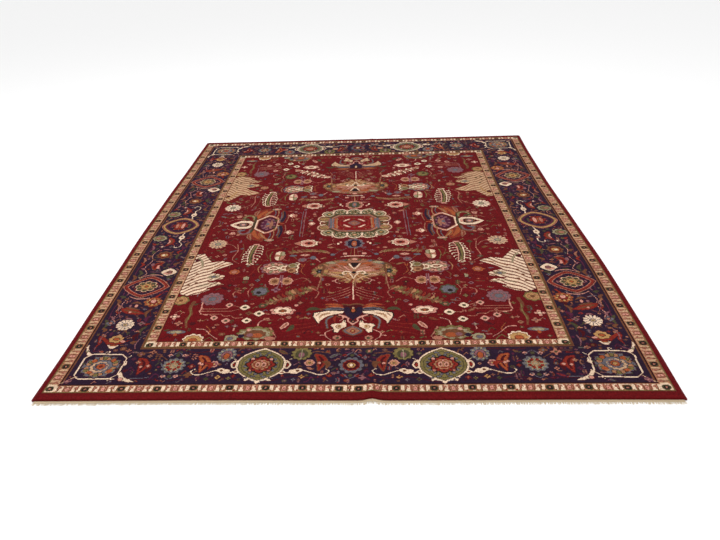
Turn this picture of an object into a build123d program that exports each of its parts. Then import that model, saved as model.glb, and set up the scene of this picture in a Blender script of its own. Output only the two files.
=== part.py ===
"""Hand-knotted wool area rug, lying flat and pile up.

The rug is centred on the origin: X across it, Y along its length from the front end to the back end,
and Z up from the surface that it lies on. It folds for storage along one crease that runs from end
to end a little right of its middle, so every piece that crosses the crease is made in a left part
and a right part.
"""
from build123d import *
import os

# Driving dimensions, in millimetres.
RUG_WIDTH = 2440.0  # over both side bindings
RUG_LENGTH = 3050.0  # over the knotted pile, without the end weave and fringe
GROUND_THICK = 4.0  # warps and wefts under the knots
PILE_HEIGHT = 8.0  # wool tufts standing above the ground weave
CREASE_X = 82.0  # the storage crease, measured from the middle of the rug

# Side finish: a bundle of outer warps overcast with wool.
BINDING_WIDTH = 10.0
BINDING_HEIGHT = 11.0
BINDING_ROUND = 3.5
SIDE_CORD_RADIUS = 2.8

# End finish: a strip of plain weave, then the cut warp ends.
END_WEAVE_DEPTH = 14.0
END_WEAVE_THICK = 3.0
FRINGE_DEPTH = 9.0
FRINGE_THICK = 2.0

# Knotted bands, from the edge inwards: depth along the two sides, and depth along the two ends.
BANDS = [
    ("edge_band", 14.0, 38.0),
    ("outer_guard", 50.0, 47.0),
    ("main_border", 256.0, 240.0),
    ("inner_guard", 50.0, 46.0),
]

# Worked out from the above.
GROUND_HALF_X = RUG_WIDTH / 2 - BINDING_WIDTH
GROUND_HALF_Y = RUG_LENGTH / 2
PILE_TOP = GROUND_THICK + PILE_HEIGHT


def block(x_low, x_high, y_low, y_high, z_low, z_high):
    """A straight-sided solid between two corners."""
    middle = ((x_low + x_high) / 2, (y_low + y_high) / 2, (z_low + z_high) / 2)
    return Pos(*middle) * Box(x_high - x_low, y_high - y_low, z_high - z_low)


def left_and_right(name, x_half, y_low, y_high, z_low, z_high):
    """A piece that crosses the crease, as its left part and its right part."""
    left = block(-x_half, CREASE_X, y_low, y_high, z_low, z_high)
    right = block(CREASE_X, x_half, y_low, y_high, z_low, z_high)
    return {name + "_left": left, name + "_right": right}


def ground_weave():
    """Cotton warps and wefts that carry every knot."""
    half_y = GROUND_HALF_Y
    return left_and_right("ground_weave", GROUND_HALF_X, -half_y, half_y, 0, GROUND_THICK)


def pile_band(name, half_x, half_y, depth_x, depth_y):
    """One frame of the border: two sides over its whole length, and two ends between them."""
    pieces = {}
    inner_x = half_x - depth_x
    inner_y = half_y - depth_y
    pieces[name + "_left"] = block(-half_x, -inner_x, -half_y, half_y, GROUND_THICK, PILE_TOP)
    pieces[name + "_right"] = block(inner_x, half_x, -half_y, half_y, GROUND_THICK, PILE_TOP)
    ends = {"front": (-half_y, -inner_y), "back": (inner_y, half_y)}
    for end, (y_low, y_high) in ends.items():
        pieces.update(left_and_right(f"{name}_{end}", inner_x, y_low, y_high, GROUND_THICK, PILE_TOP))
    return pieces


def cornered_band(name, half_x, half_y, depth_x, depth_y):
    """The main border: as any band, with its four corner blocks knotted as units of their own."""
    pieces = pile_band(name, half_x, half_y, depth_x, depth_y)
    inner_x = half_x - depth_x
    inner_y = half_y - depth_y
    for side, (x_low, x_high) in {"left": (-half_x, -inner_x), "right": (inner_x, half_x)}.items():
        pieces[f"{name}_{side}"] = block(x_low, x_high, -inner_y, inner_y, GROUND_THICK, PILE_TOP)
        for end, (y_low, y_high) in {"front": (-half_y, -inner_y), "back": (inner_y, half_y)}.items():
            corner = block(x_low, x_high, y_low, y_high, GROUND_THICK, PILE_TOP)
            pieces[f"corner_block_{end}_{side}"] = corner
    return pieces


def field(half_x, half_y):
    """The knotted middle of the rug, inside all its borders."""
    return left_and_right("field", half_x, -half_y, half_y, GROUND_THICK, PILE_TOP)


def side_cord(side):
    """The bundle of outer warps inside one side binding."""
    centre_x = side * (RUG_WIDTH - BINDING_WIDTH) / 2
    cord = Rotation(90, 0, 0) * Cylinder(SIDE_CORD_RADIUS, RUG_LENGTH)
    return Pos(centre_x, 0, BINDING_HEIGHT / 2) * cord


def side_binding(side):
    """Wool overcasting wrapped around one side cord, rounded above and below."""
    centre_x = side * (RUG_WIDTH - BINDING_WIDTH) / 2
    bar = Box(BINDING_WIDTH, RUG_LENGTH, BINDING_HEIGHT)
    wrap = fillet(bar.edges().filter_by(Axis.Y), BINDING_ROUND)
    return Pos(centre_x, 0, BINDING_HEIGHT / 2) * wrap - side_cord(side)


def end_weave():
    """Strips of plain cotton weave that lock the first and last rows of knots."""
    pieces = {}
    near = GROUND_HALF_Y
    far = near + END_WEAVE_DEPTH
    pieces.update(left_and_right("end_weave_front", GROUND_HALF_X, -far, -near, 0, END_WEAVE_THICK))
    pieces.update(left_and_right("end_weave_back", GROUND_HALF_X, near, far, 0, END_WEAVE_THICK))
    return pieces


def fringe():
    """The warp ends, cut short beyond the end weave."""
    pieces = {}
    near = GROUND_HALF_Y + END_WEAVE_DEPTH
    far = near + FRINGE_DEPTH
    pieces.update(left_and_right("fringe_front", GROUND_HALF_X, -far, -near, 0, FRINGE_THICK))
    pieces.update(left_and_right("fringe_back", GROUND_HALF_X, near, far, 0, FRINGE_THICK))
    return pieces


def rug():
    """Every piece of the rug, by its name."""
    pieces = ground_weave()
    half_x = GROUND_HALF_X
    half_y = GROUND_HALF_Y
    for name, depth_x, depth_y in BANDS:
        make = cornered_band if name == "main_border" else pile_band
        pieces.update(make(name, half_x, half_y, depth_x, depth_y))
        half_x -= depth_x
        half_y -= depth_y
    pieces.update(field(half_x, half_y))
    for word, side in (("left", -1), ("right", 1)):
        pieces["side_cord_" + word] = side_cord(side)
        pieces["side_binding_" + word] = side_binding(side)
    pieces.update(end_weave())
    pieces.update(fringe())
    return pieces


os.makedirs("parts", exist_ok=True)
for node, shape in rug().items():
    export_step(shape, f"parts/{node}.step")
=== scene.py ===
"""A hand-knotted wool rug, laid on a floor, that folds along the crease it was stored with.

The pile is one closed piece for each band of the design, with a face for every knot. A weaver's
cartoon, drawn here in millimetres, gives each knot its yarn. Every piece is made flat, and settle()
then lays it on the floor, so that all of them stay joined. Lengths are in metres unless said.
"""

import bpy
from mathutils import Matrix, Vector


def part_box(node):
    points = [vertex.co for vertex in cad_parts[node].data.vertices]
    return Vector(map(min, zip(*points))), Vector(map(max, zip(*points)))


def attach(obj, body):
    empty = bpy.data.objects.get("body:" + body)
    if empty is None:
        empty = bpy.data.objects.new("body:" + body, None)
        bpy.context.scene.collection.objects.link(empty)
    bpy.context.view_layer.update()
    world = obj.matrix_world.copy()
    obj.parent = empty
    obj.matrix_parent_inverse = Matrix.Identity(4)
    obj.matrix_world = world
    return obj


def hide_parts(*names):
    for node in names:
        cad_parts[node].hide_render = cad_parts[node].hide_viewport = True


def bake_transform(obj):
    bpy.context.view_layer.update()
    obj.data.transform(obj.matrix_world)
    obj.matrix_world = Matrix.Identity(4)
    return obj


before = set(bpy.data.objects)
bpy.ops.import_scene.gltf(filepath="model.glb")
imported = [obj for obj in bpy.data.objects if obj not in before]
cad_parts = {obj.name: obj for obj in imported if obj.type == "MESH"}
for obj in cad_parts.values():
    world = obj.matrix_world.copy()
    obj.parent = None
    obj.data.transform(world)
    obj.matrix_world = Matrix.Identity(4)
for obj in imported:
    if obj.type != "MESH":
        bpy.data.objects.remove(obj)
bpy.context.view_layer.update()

import copy
import itertools

import bpy
import numpy as np

# ---------------------------------------------------------------------------------------------------
# Yarns and the weaver's cartoon
# ---------------------------------------------------------------------------------------------------

# Colours are red, green and blue out of 255 in daylight. First every dye lot in the pile.
YARNS = {
    "madder": (104, 18, 22),
    "cherry": (124, 18, 24),
    "wine": (74, 20, 26),
    "indigo": (44, 28, 46),
    "soot": (40, 28, 28),
    "ivory": (236, 204, 174),
    "blush": (210, 146, 128),
    "straw": (200, 160, 126),
    "rose": (176, 112, 92),
    "clay": (156, 102, 80),
    "tan": (170, 118, 84),
    "walnut": (112, 68, 46),
    "gold": (186, 140, 88),
    "orange": (164, 82, 48),
    "brick": (134, 42, 32),
    "olive": (120, 104, 62),
    "moss": (74, 68, 46),
    "sage": (156, 142, 112),
    "slate": (104, 98, 104),
    "mauve": (134, 88, 92),
    "plum": (84, 34, 56),
}
YARN_NAMES = list(YARNS)
GROUND_COTTON = (198, 178, 150)
WEFT_COTTON = (206, 184, 152)
BINDING_WOOL = (112, 26, 30)
FRINGE_COTTON = (212, 194, 164)

BORDER_SPRIGS = "plum wine walnut brick moss slate mauve clay plum walnut rose".split()
FIELD_SPRIGS = "wine walnut brick clay moss olive slate mauve rose wine".split()
# Pairs of small leaves in the side borders: the yarn of the one by the field, then of the one outside.
BORDER_LEAVES = [
    ("walnut", "brick"),
    ("plum", "mauve"),
    ("brick", "moss"),
    ("moss", "walnut"),
    ("wine", "clay"),
]

# Sizes of the design, in millimetres. Each band has a depth along the sides and one along the ends.
HALF_WIDTH, HALF_LENGTH = 1210, 1525  # from the middle of the rug to the edges of its pile
EDGE_BAND = (14, 38)
OUTER_GUARD = (50, 47)
MAIN_BORDER = (256, 240)
INNER_GUARD = (50, 46)
GUARD_REPEAT = 142  # from one eye of a guard stripe to the next, about
KNOT_WIDTH = 3.4
FINE_STEM = 3.8

FOUR_WAYS = [(-1, -1), (1, -1), (-1, 1), (1, 1)]


def smooth_path(points, step=1.6):
    """Places along a smooth curve that passes through every point, about a step apart."""
    p = np.array(points, float)
    p = np.vstack([2 * p[0] - p[1], p, 2 * p[-1] - p[-2]])
    path = []
    for p0, p1, p2, p3 in zip(p, p[1:], p[2:], p[3:]):
        count = max(2, int(np.hypot(*(p2 - p1)) / step))
        t = np.linspace(0, 1, count, endpoint=False)[:, None]
        a = 2 * p1 + (p2 - p0) * t
        b = (2 * p0 - 5 * p1 + 4 * p2 - p3) * t**2
        c = (3 * p1 - p0 - 3 * p2 + p3) * t**3
        path.append((a + b + c) / 2)
    return np.vstack(path + [p[-2:-1]])


class Cartoon:
    """One yarn for each knot of the rug, drawn in millimetres from the middle of the rug."""

    def __init__(self, half_x, half_y, columns, rows):
        self.x = (np.arange(columns) + 0.5) / columns * 2 * half_x - half_x
        self.y = (np.arange(rows) + 0.5) / rows * 2 * half_y - half_y
        self.pitch = 2 * half_x / columns
        self.yarn = np.zeros((rows, columns), np.uint8)

    def hand(self, x, y):
        """How far the weaver's hand strays from a true drawing, in millimetres."""
        lean = (12 + y * 0.006) * np.clip(1 - (x / 860) ** 2, 0, 1)
        across = lean + 2.2 * np.sin(y / 137 + 0.4) + 1.4 * np.sin(y / 61 + x / 210)
        along = 2.4 * np.sin(x / 151 + 1.1) + 1.5 * np.sin(x / 57 - y / 190)
        return across, along

    def window(self, x, y, reach):
        """The rows and columns that lie within reach of a place."""
        columns = slice(*np.searchsorted(self.x, (x - reach, x + reach)))
        rows = slice(*np.searchsorted(self.y, (y - reach, y + reach)))
        return rows, columns

    def band(self, x0, y0, x1, y1, yarn):
        """A straight-sided area of one yarn."""
        columns = slice(*np.searchsorted(self.x, (x0, x1)))
        rows = slice(*np.searchsorted(self.y, (y0, y1)))
        self.yarn[rows, columns] = YARN_NAMES.index(yarn)

    def dots(self, places, radii, yarn):
        """Round dots of one yarn, close enough together to draw a line."""
        colour = YARN_NAMES.index(yarn)
        for (x, y), r in zip(places, radii):
            dx, dy = self.hand(x, y)
            x, y = x - dx, y - dy
            rows, columns = self.window(x, y, r + self.pitch)
            gap = np.hypot(self.x[columns][None, :] - x, self.y[rows][:, None] - y)
            self.yarn[rows, columns][gap <= r] = colour


class Stamp:
    """A motif's own frame on the cartoon: u across the motif and v along it, in millimetres.

    It sits a out from the rug's centre line and b towards one end. Sides says which of the four
    quarters it is drawn in, and mirrors it to match. With no turn, v points to the rug's end.
    """

    def __init__(self, cartoon, a, b, sides=(1, 1), reach=60, turn=0):
        self.cartoon = cartoon
        self.centre = (sides[0] * a, sides[1] * b)
        self.sides = sides
        self.cosine, self.sine = np.cos(np.radians(turn)), np.sin(np.radians(turn))
        rows, columns = cartoon.window(*self.centre, reach + 20)
        x, y = np.meshgrid(cartoon.x[columns], cartoon.y[rows])
        dx, dy = cartoon.hand(x, y)
        across = (x + dx - self.centre[0]) * sides[0]
        along = (y + dy - self.centre[1]) * sides[1]
        self.u = across * self.cosine + along * self.sine
        self.v = along * self.cosine - across * self.sine
        self.knots = cartoon.yarn[rows, columns]
        self.flip = (1, 1)

    def halves(self, lying=False):
        """The motif's frame mirrored in u and then as it is, or in v where the motif lies on its side."""
        for flip in (-1, 1):
            half = copy.copy(self)
            half.flip = (1, flip) if lying else (flip, 1)
            half.u = self.u * half.flip[0]
            half.v = self.v * half.flip[1]
            yield half

    def places(self, path):
        """Where a path of the motif lies on the cartoon."""
        u, v = path[:, 0] * self.flip[0], path[:, 1] * self.flip[1]
        across = u * self.cosine - v * self.sine
        along = u * self.sine + v * self.cosine
        return np.stack([across * self.sides[0], along * self.sides[1]], 1) + self.centre

    def paint(self, where, yarn):
        self.knots[where] = YARN_NAMES.index(yarn)

    def oval(self, u, v, ru, rv, yarn):
        self.paint(((self.u - u) / ru) ** 2 + ((self.v - v) / rv) ** 2 <= 1, yarn)

    def disc(self, u, v, r, yarn):
        self.oval(u, v, r, r, yarn)

    def lozenge(self, u, v, ru, rv, yarn, round_off=1.0):
        """A diamond, whose sides bulge as round_off goes from 1 towards 2."""
        reach = np.abs((self.u - u) / ru) ** round_off + np.abs((self.v - v) / rv) ** round_off
        self.paint(reach <= 1, yarn)

    def ogee(self, u, v, ru, rv, yarn, fullness=0.4):
        """An oval with a point at each end of v, and sides that are nearly straight."""
        across = np.clip(1 - np.abs(self.u - u) / ru, 0, None)
        self.paint((across > 0) & (np.abs(self.v - v) <= rv * across**fullness), yarn)

    def block(self, u, v, ru, rv, yarn, cut=0):
        """A rectangle about a centre, with its corners cut off."""
        du, dv = np.abs(self.u - u), np.abs(self.v - v)
        self.paint((du <= ru) & (dv <= rv) & (du + dv <= ru + rv - cut), yarn)

    def scallop(self, u, v, ru, rv, lobes, yarn, depth=0.12, start=0):
        """An oval with a lobed edge. Its lobes start from the same side on both halves of a motif."""
        du, dv = (self.u - u) / ru, (self.v - v) / rv
        angle = np.arctan2(dv, du * self.flip[0]) - np.radians(start)
        edge = 1 - depth + depth * np.abs(np.cos(lobes * angle / 2)) * 1.6
        self.paint(np.hypot(du, dv) <= edge, yarn)

    def ring_of(self, u, v, ru, rv, count, r, yarn, start=0):
        """Small discs set evenly around an oval."""
        for k in range(count):
            angle = 2 * np.pi * k / count + np.radians(start)
            self.disc(u + ru * np.cos(angle), v + rv * np.sin(angle), r, yarn)

    def shape(self, corners, yarn, where=True):
        """A straight-sided outline, or the part of it that where picks."""
        inside = np.zeros(self.u.shape, bool)
        for (u0, v0), (u1, v1) in zip(corners, corners[1:] + corners[:1]):
            if v0 != v1:
                crossing = (u1 - u0) * (self.v - v0) / (v1 - v0) + u0
                inside ^= ((v0 > self.v) != (v1 > self.v)) & (self.u < crossing)
        self.paint(inside & where, yarn)

    def line(self, points, width, yarn, tip=None):
        """A curved line through points, which narrows to tip at its far end."""
        places = self.places(smooth_path(points))
        radii = np.linspace(width, width if tip is None else tip, len(places)) / 2
        self.cartoon.dots(places, radii, yarn)

    def leaf(self, points, width, yarn, spine=None, teeth=0, edge=None):
        """A leaf along a curve: widest before its middle, pointed at both ends, saw-edged if toothed."""
        path = smooth_path(points)
        t = np.linspace(0, 1, len(path))
        swell = np.sin(np.pi * t**0.8) * width / 2
        if teeth:
            swell = swell * (0.72 + 0.28 * np.abs(np.sin(np.pi * teeth * t)))
        places = self.places(path)
        if edge:
            self.cartoon.dots(places, swell + KNOT_WIDTH, edge)
        self.cartoon.dots(places, swell, yarn)
        if spine:
            inner = slice(len(path) // 6, -len(path) // 5)
            self.cartoon.dots(places[inner], swell[inner] * 0.32, spine)


# Small flowers, which several bands share ----------------------------------------------------------


def feathers(s, foot, near, far, turn, count, width, yarns):
    """Narrow leaves spread like a fan from an oval about a foot, in a repeating run of yarns."""
    yarns = yarns.split()
    for k, angle in enumerate(np.radians(np.linspace(*turn, count))):
        along, up = np.cos(angle), np.sin(angle)
        start = (foot[0] + near[0] * along, foot[1] + near[1] * up)
        end = (foot[0] + far[0] * along, foot[1] + far[1] * up)
        middle = ((start[0] + end[0]) / 2, (start[1] + end[1]) / 2)
        s.leaf([start, middle, end], width, yarns[k % len(yarns)])


def bud(s, u, v, r, yarn, heart="soot"):
    """Four round petals about a middle."""
    s.ring_of(u, v, r * 0.6, r * 0.6, 4, r * 0.42, yarn)
    s.disc(u, v, r * 0.5, yarn)
    s.disc(u, v, r * 0.3, heart)


def star_flower(s, u, v, r, petal, heart):
    """A small open flower with four pointed petals and a dark heart."""
    s.lozenge(u, v, r, r, petal, 1.3)
    s.block(u, v, r * 0.62, r * 0.62, petal, r * 0.3)
    s.disc(u, v, r * 0.36, heart)


def rosette(s, r, rim, ground, petal, heart, petals=8, edge=None):
    """A round open flower: scalloped rim, ring of petals and a heart."""
    if edge:
        s.scallop(0, 0, r + 4, r + 4, petals, edge)
    s.scallop(0, 0, r, r, petals, rim)
    s.disc(0, 0, r * 0.72, ground)
    s.ring_of(0, 0, r * 0.5, r * 0.5, petals, r * 0.17, petal, 180 / petals)
    s.disc(0, 0, r * 0.27, heart)


def daisy(s, r, petal, ground, heart, petals=12):
    """A round flower of long narrow petals."""
    angle = np.arctan2(s.v, s.u)
    reach = np.hypot(s.u, s.v)
    s.paint(reach <= r * (0.86 + 0.14 * np.abs(np.cos(petals * angle / 2))), petal)
    gaps = (np.abs(np.sin(petals * angle / 2)) > 0.9) & (reach > r * 0.42) & (reach < r * 0.82)
    s.paint(gaps, ground)
    s.disc(0, 0, r * 0.36, ground)
    s.disc(0, 0, r * 0.24, heart)


def fan(s, w, h, outer, inner, heart, edge=None, lobes=9):
    """A small palmette seen from the side, its fan opening towards +v."""
    if edge:
        s.scallop(0, 0, w + 4, h + 4, lobes, edge)
    s.scallop(0, 0, w, h, lobes, outer)
    s.oval(0, -h * 0.1, w * 0.66, h * 0.68, inner)
    s.oval(0, -h * 0.22, w * 0.3, h * 0.42, heart)


# The guard stripes ---------------------------------------------------------------------------------


def guard_blossom(s, d, far, pale):
    """What lies between two eyes of a guard stripe: u along it, v across it to the field.

    The stripe is d deep on each side of its middle line, and the next blossoms start at far.
    """
    for half in s.halves():
        half.block((far + 30) / 2, 0, (far - 30) / 2, d - 4, "rose")
        half.shape([(36, -d * 0.84), (56, -d * 0.84), (50, -d * 0.1), (40, d * 0.2)], pale)
        half.line([(38, d * 0.84), (48, d * 0.56), (50, 0)], 7, pale, 5)
        half.line([(60, -d * 0.9), (57, 0), (60, d * 0.9)], FINE_STEM, "walnut")
        half.line([(36, -d * 0.5), (41, d * 0.4)], FINE_STEM, "walnut")
        half.oval(far, -d * 0.06, 10, d * 0.66, "walnut")
        half.oval(far, -d * 0.06, 7, d * 0.52, "blush")
        half.disc(far, -d * 0.1, 3, "brick")
        half.disc(far - 6, d * 0.78, 4, pale)


def guard_eye(s, d, pale):
    """The dark eye of a guard stripe, in its pale bracket. The stripe is d deep on each side of it."""
    s.block(0, 0, 33, d - KNOT_WIDTH, "tan")
    for half in s.halves():
        half.block(24, d * 0.10, 7, d * 0.74, pale, 6)
        half.line([(32, d * 0.86), (31, 0), (36, -d * 0.8)], FINE_STEM, "walnut")
        half.line([(20, -d * 0.84), (20, -d * 0.5)], 4, "brick")
    s.block(0, d * 0.82, 24, d * 0.12, pale)
    s.block(0, -d * 0.86, 12, d * 0.10, pale)
    s.block(0, 0, 17, d * 0.66, "walnut", 8)
    s.block(0, 0, 14, d * 0.58, "moss", 7)
    s.block(0, 0, 11, d * 0.44, "soot", 5)
    s.block(0, 0, 4, d * 0.18, "rose", 2)


def guard_stripe(cartoon, half_x, half_y, depth_x, depth_y, first_x, repeats_y):
    """A narrow stripe on all four sides, ivory and rose, with a dark eye at every repeat.

    Along the ends the eyes are spaced from the corners in to first_x, and along the sides there are
    repeats_y of them from the middle of the side to each corner.
    """
    mid_x, mid_y = half_x - depth_x / 2, half_y - depth_y / 2
    outside = ~within(cartoon, half_x, half_y)
    drawn_outside = cartoon.yarn[outside]
    cartoon.band(-half_x, -half_y, half_x, half_y, "rose")
    count_x = round((mid_x - first_x) / GUARD_REPEAT)
    repeat_x = (mid_x - first_x) / count_x
    repeat_y = mid_y / repeats_y
    first_y = 0 if repeats_y == int(repeats_y) else repeat_y / 2
    for eyes, sides in itertools.product((False, True), FOUR_WAYS):
        places = []
        for k in range(count_x + 1):
            s = Stamp(cartoon, first_x + k * repeat_x, mid_y, sides, repeat_x * 0.6, 180)
            places.append((s, depth_y / 2, repeat_x / 2, "ivory"))
        for k in range(int(repeats_y) + 1):
            s = Stamp(cartoon, mid_x, first_y + k * repeat_y, sides, repeat_y * 0.6, 90)
            places.append((s, depth_x / 2, repeat_y / 2, "straw"))
        for s, d, far, pale in places:
            if eyes:
                guard_eye(s, d, pale)
            else:
                guard_blossom(s, d, far, pale)
        corner = Stamp(cartoon, mid_x, mid_y, sides, 40)
        corner.block(0, 0, depth_x / 2, depth_y / 2, "ivory", 10)
        corner.block(0, 0, 16, 15, "moss", 8)
        corner.block(0, 0, 10, 9, "soot", 5)
        corner.block(0, 0, 4, 4, "rose")
    cartoon.yarn[outside] = drawn_outside
    outline_all_round(cartoon, half_x, half_y, 2 * KNOT_WIDTH, "olive")
    outline_all_round(cartoon, half_x, half_y, KNOT_WIDTH, "walnut")
    for knots, yarn in ((2, "tan"), (1, "wine")):
        inset_x, inset_y = depth_x - knots * KNOT_WIDTH, depth_y - knots * KNOT_WIDTH
        outline_all_round(cartoon, half_x - inset_x, half_y - inset_y, KNOT_WIDTH, yarn)


def outline_all_round(cartoon, half_x, half_y, depth, yarn):
    """A thin line all round, just inside a rectangle."""
    for sign in (-1, 1):
        y0, y1 = sorted((sign * half_y, sign * (half_y - depth)))
        cartoon.band(-half_x, y0, half_x, y1, yarn)
        x0, x1 = sorted((sign * half_x, sign * (half_x - depth)))
        cartoon.band(x0, -half_y, x1, half_y, yarn)


# The main border -----------------------------------------------------------------------------------


def green_cartouche(s, ends_pale):
    """The large lobed diamond of the end borders, with ivory arms that run out to both sides."""
    for half in s.halves():
        arm = [(80, 42), (112, 52), (146, 42), (176, 38), (206, 50)]
        curl = [(206, 50), (236, 62), (266, 58), (278, 38), (262, 26)]
        half.line(arm, 9, "ivory")
        half.line(curl, 7, "ivory", 5)
        half.oval(140, 44, 25, 17, "ivory")
        half.oval(158, 36, 18, 14, "ivory")
        half.disc(154, 38, 7, "walnut")
        half.oval(108, 2, 15, 27, "ivory")
        half.oval(107, 2, 8, 17, "brick")
        half.oval(92, 48, 17, 11, "ivory")
        half.oval(92, 48, 9, 5, "orange")
        half.line([(100, -26), (118, -38)], 8, "ivory", 4)
    s.ogee(0, 0, 101, 112, "ivory")
    s.ogee(0, 0, 93, 101, "sage" if ends_pale else "olive")
    s.ogee(0, 0, 80, 86, "moss")
    s.ogee(0, 0, 76, 81, "olive")
    s.ring_of(0, 0, 63, 62, 16, 8, "slate", 11)
    s.scallop(0, 0, 60, 56, 8, "soot", 0.12)
    s.scallop(0, 0, 53, 48, 8, "brick", 0.14)
    s.ring_of(0, 0, 40, 36, 8, 5, "wine")
    s.scallop(0, 0, 36, 31, 10, "tan", 0.1)
    s.oval(0, 0, 30, 25, "brick")
    s.block(0, 0, 23, 19, "tan", 9)
    for half in s.halves():
        half.oval(12, 0, 9, 15, "blush")
        half.oval(12, 1, 5, 9, "walnut")
        half.disc(38, -36, 7, "blush")
        half.disc(38, 38, 6, "rose")
        half.oval(22, -76, 12, 6, "slate")
        half.oval(22, 76, 12, 6, "slate")
    s.disc(0, -24, 5, "blush")
    s.lozenge(0, 108, 13, 16, "ivory")
    s.lozenge(0, 96, 8, 8, "olive")
    s.lozenge(0, -112, 8, 14, "ivory")
    s.line([(-60, 84), (-34, 98), (-12, 104)], 4, "slate")
    s.line([(60, 84), (34, 98), (12, 104)], 4, "slate")


def border_buds(s, r, yarn):
    """Four small buds that stand off a border rosette, above and below."""
    for u, v in ((-30, -1), (30, -1), (-27, 1), (27, 1)):
        s.oval(u, v * (r + 16), 11, 9, yarn)
        s.disc(u, v * (r + 14), 4, "wine")
    for v in (-1, 1):
        s.disc(0, v * (r + 16), 9, "moss")
        s.line([(-30, v * (r + 6)), (0, v * (r + 34)), (30, v * (r + 6))], 3.4, "slate")


def scroll_leaf(s, size, yarn, edge):
    """A curling saw-edged leaf with a dark edge line and a pink tip."""
    blade = [(size * 0.45, -size), (-size * 0.1, -size * 0.3), (size * 0.05, size)]
    curl = [(-size * 0.1, -size * 0.1), (-size * 0.6, size * 0.1), (-size * 0.5, size * 0.8)]
    s.leaf(blade, size * 0.72, yarn, "wine", 6, edge)
    s.leaf(curl, size * 0.4, edge)
    s.disc(size * 0.05, size * 0.05, size * 0.12, "blush")


def end_border(cartoon, middle):
    """The flowers of the navy border along both ends, b being the border's middle line."""
    for sides in FOUR_WAYS:
        front = sides[1] < 0

        def at(a, b, reach=70, turn=0):
            return Stamp(cartoon, a, middle + b, sides, reach, turn)

        back = at(0, 0, 40)
        back.line([(60, 70), (110, 78), (170, 84), (230, 76), (300, 98), (360, 112)], FINE_STEM, "wine")
        back.line([(430, 100), (500, 84), (560, 92), (640, 80), (720, 96)], FINE_STEM, "wine")
        back.line([(90, -76), (150, -86), (210, -60), (250, -84)], 5, "walnut")
        back.line([(480, -70), (560, -96), (640, -86), (700, -100)], 5, "wine")
        back.line([(760, -40), (820, -84), (880, -88)], 4, "walnut")
        back.line([(770, 84), (860, 88), (930, 84)], 4, "wine")

        scroll_leaf(at(125, -14), 54, "brick", "walnut")
        rosette(at(168, -12, 40), 22, "blush", "rose", "gold", "olive", 6)
        s = at(207, -74, 70, 180)
        fan(s, 40, 42, "olive", "moss", "mauve", "soot", 11)
        s.line([(0, -36), (0, 30)], 5, "sage")
        s = at(190, 76, 40)
        bud(s, 0, 0, 14, "gold", "brick")
        bud(s, -76, 2, 12, "brick")
        bud(s, 30, 18, 9, "slate")
        bud(at(82, 66, 40), 0, 0, 14, "brick", "walnut")

        green_cartouche(at(363, 0, 300), not front)
        for side in (-1, 1):
            s = at(363 + side * 46, 96, 30)
            s.disc(0, 0, 9, "ivory")
            s.disc(0, -12, 6, "slate")

        s = at(515, -66, 70, 180)
        fan(s, 38, 46, "slate", "mauve", "orange", "soot", 11)
        s.ring_of(0, 0, 30, 36, 10, 5, "sage")
        rosette(at(556, -4, 40), 20, "blush", "mauve", "brick", "gold", 6)
        scroll_leaf(at(602, -8), 56, "orange", "brick")
        at(618, -12, 20).disc(0, 0, 8, "blush")
        s = at(524, 80, 40)
        bud(s, 0, 0, 15, "gold", "walnut")
        bud(s, 44, 10, 10, "moss")
        bud(s, -44, 8, 9, "olive")

        s = at(722, 0, 110)
        rosette(s, 48, "slate", "sage", "sage", "olive", 12, "soot")
        s.ring_of(0, 0, 39, 39, 12, 4, "sage")
        s.ring_of(0, 0, 26, 26, 8, 8, "brick", 22)
        s.disc(0, 0, 14, "tan")
        s.disc(0, 0, 9, "sage")
        border_buds(s, 52, "blush")

        s = at(855, 4, 90)
        scroll_leaf(s, 56, "brick", "wine")
        s.disc(-26, -2, 14, "brick")
        s.disc(-26, -2, 7, "blush")
        bud(s, 24, -26, 13, "rose", "olive")
        bud(s, 30, 26, 10, "plum")
        s.line([(-50, 70), (-20, 76), (30, 78)], 4, "slate")
    for end in (-1, 1):
        s = Stamp(cartoon, 0, middle, (1, end), 110)
        rosette(s, 48, "slate", "brick", "wine", "gold", 10, "soot")
        s.disc(0, 0, 16, "gold")
        s.disc(0, 0, 8, "ivory")
        border_buds(s, 48, "brick")


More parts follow.
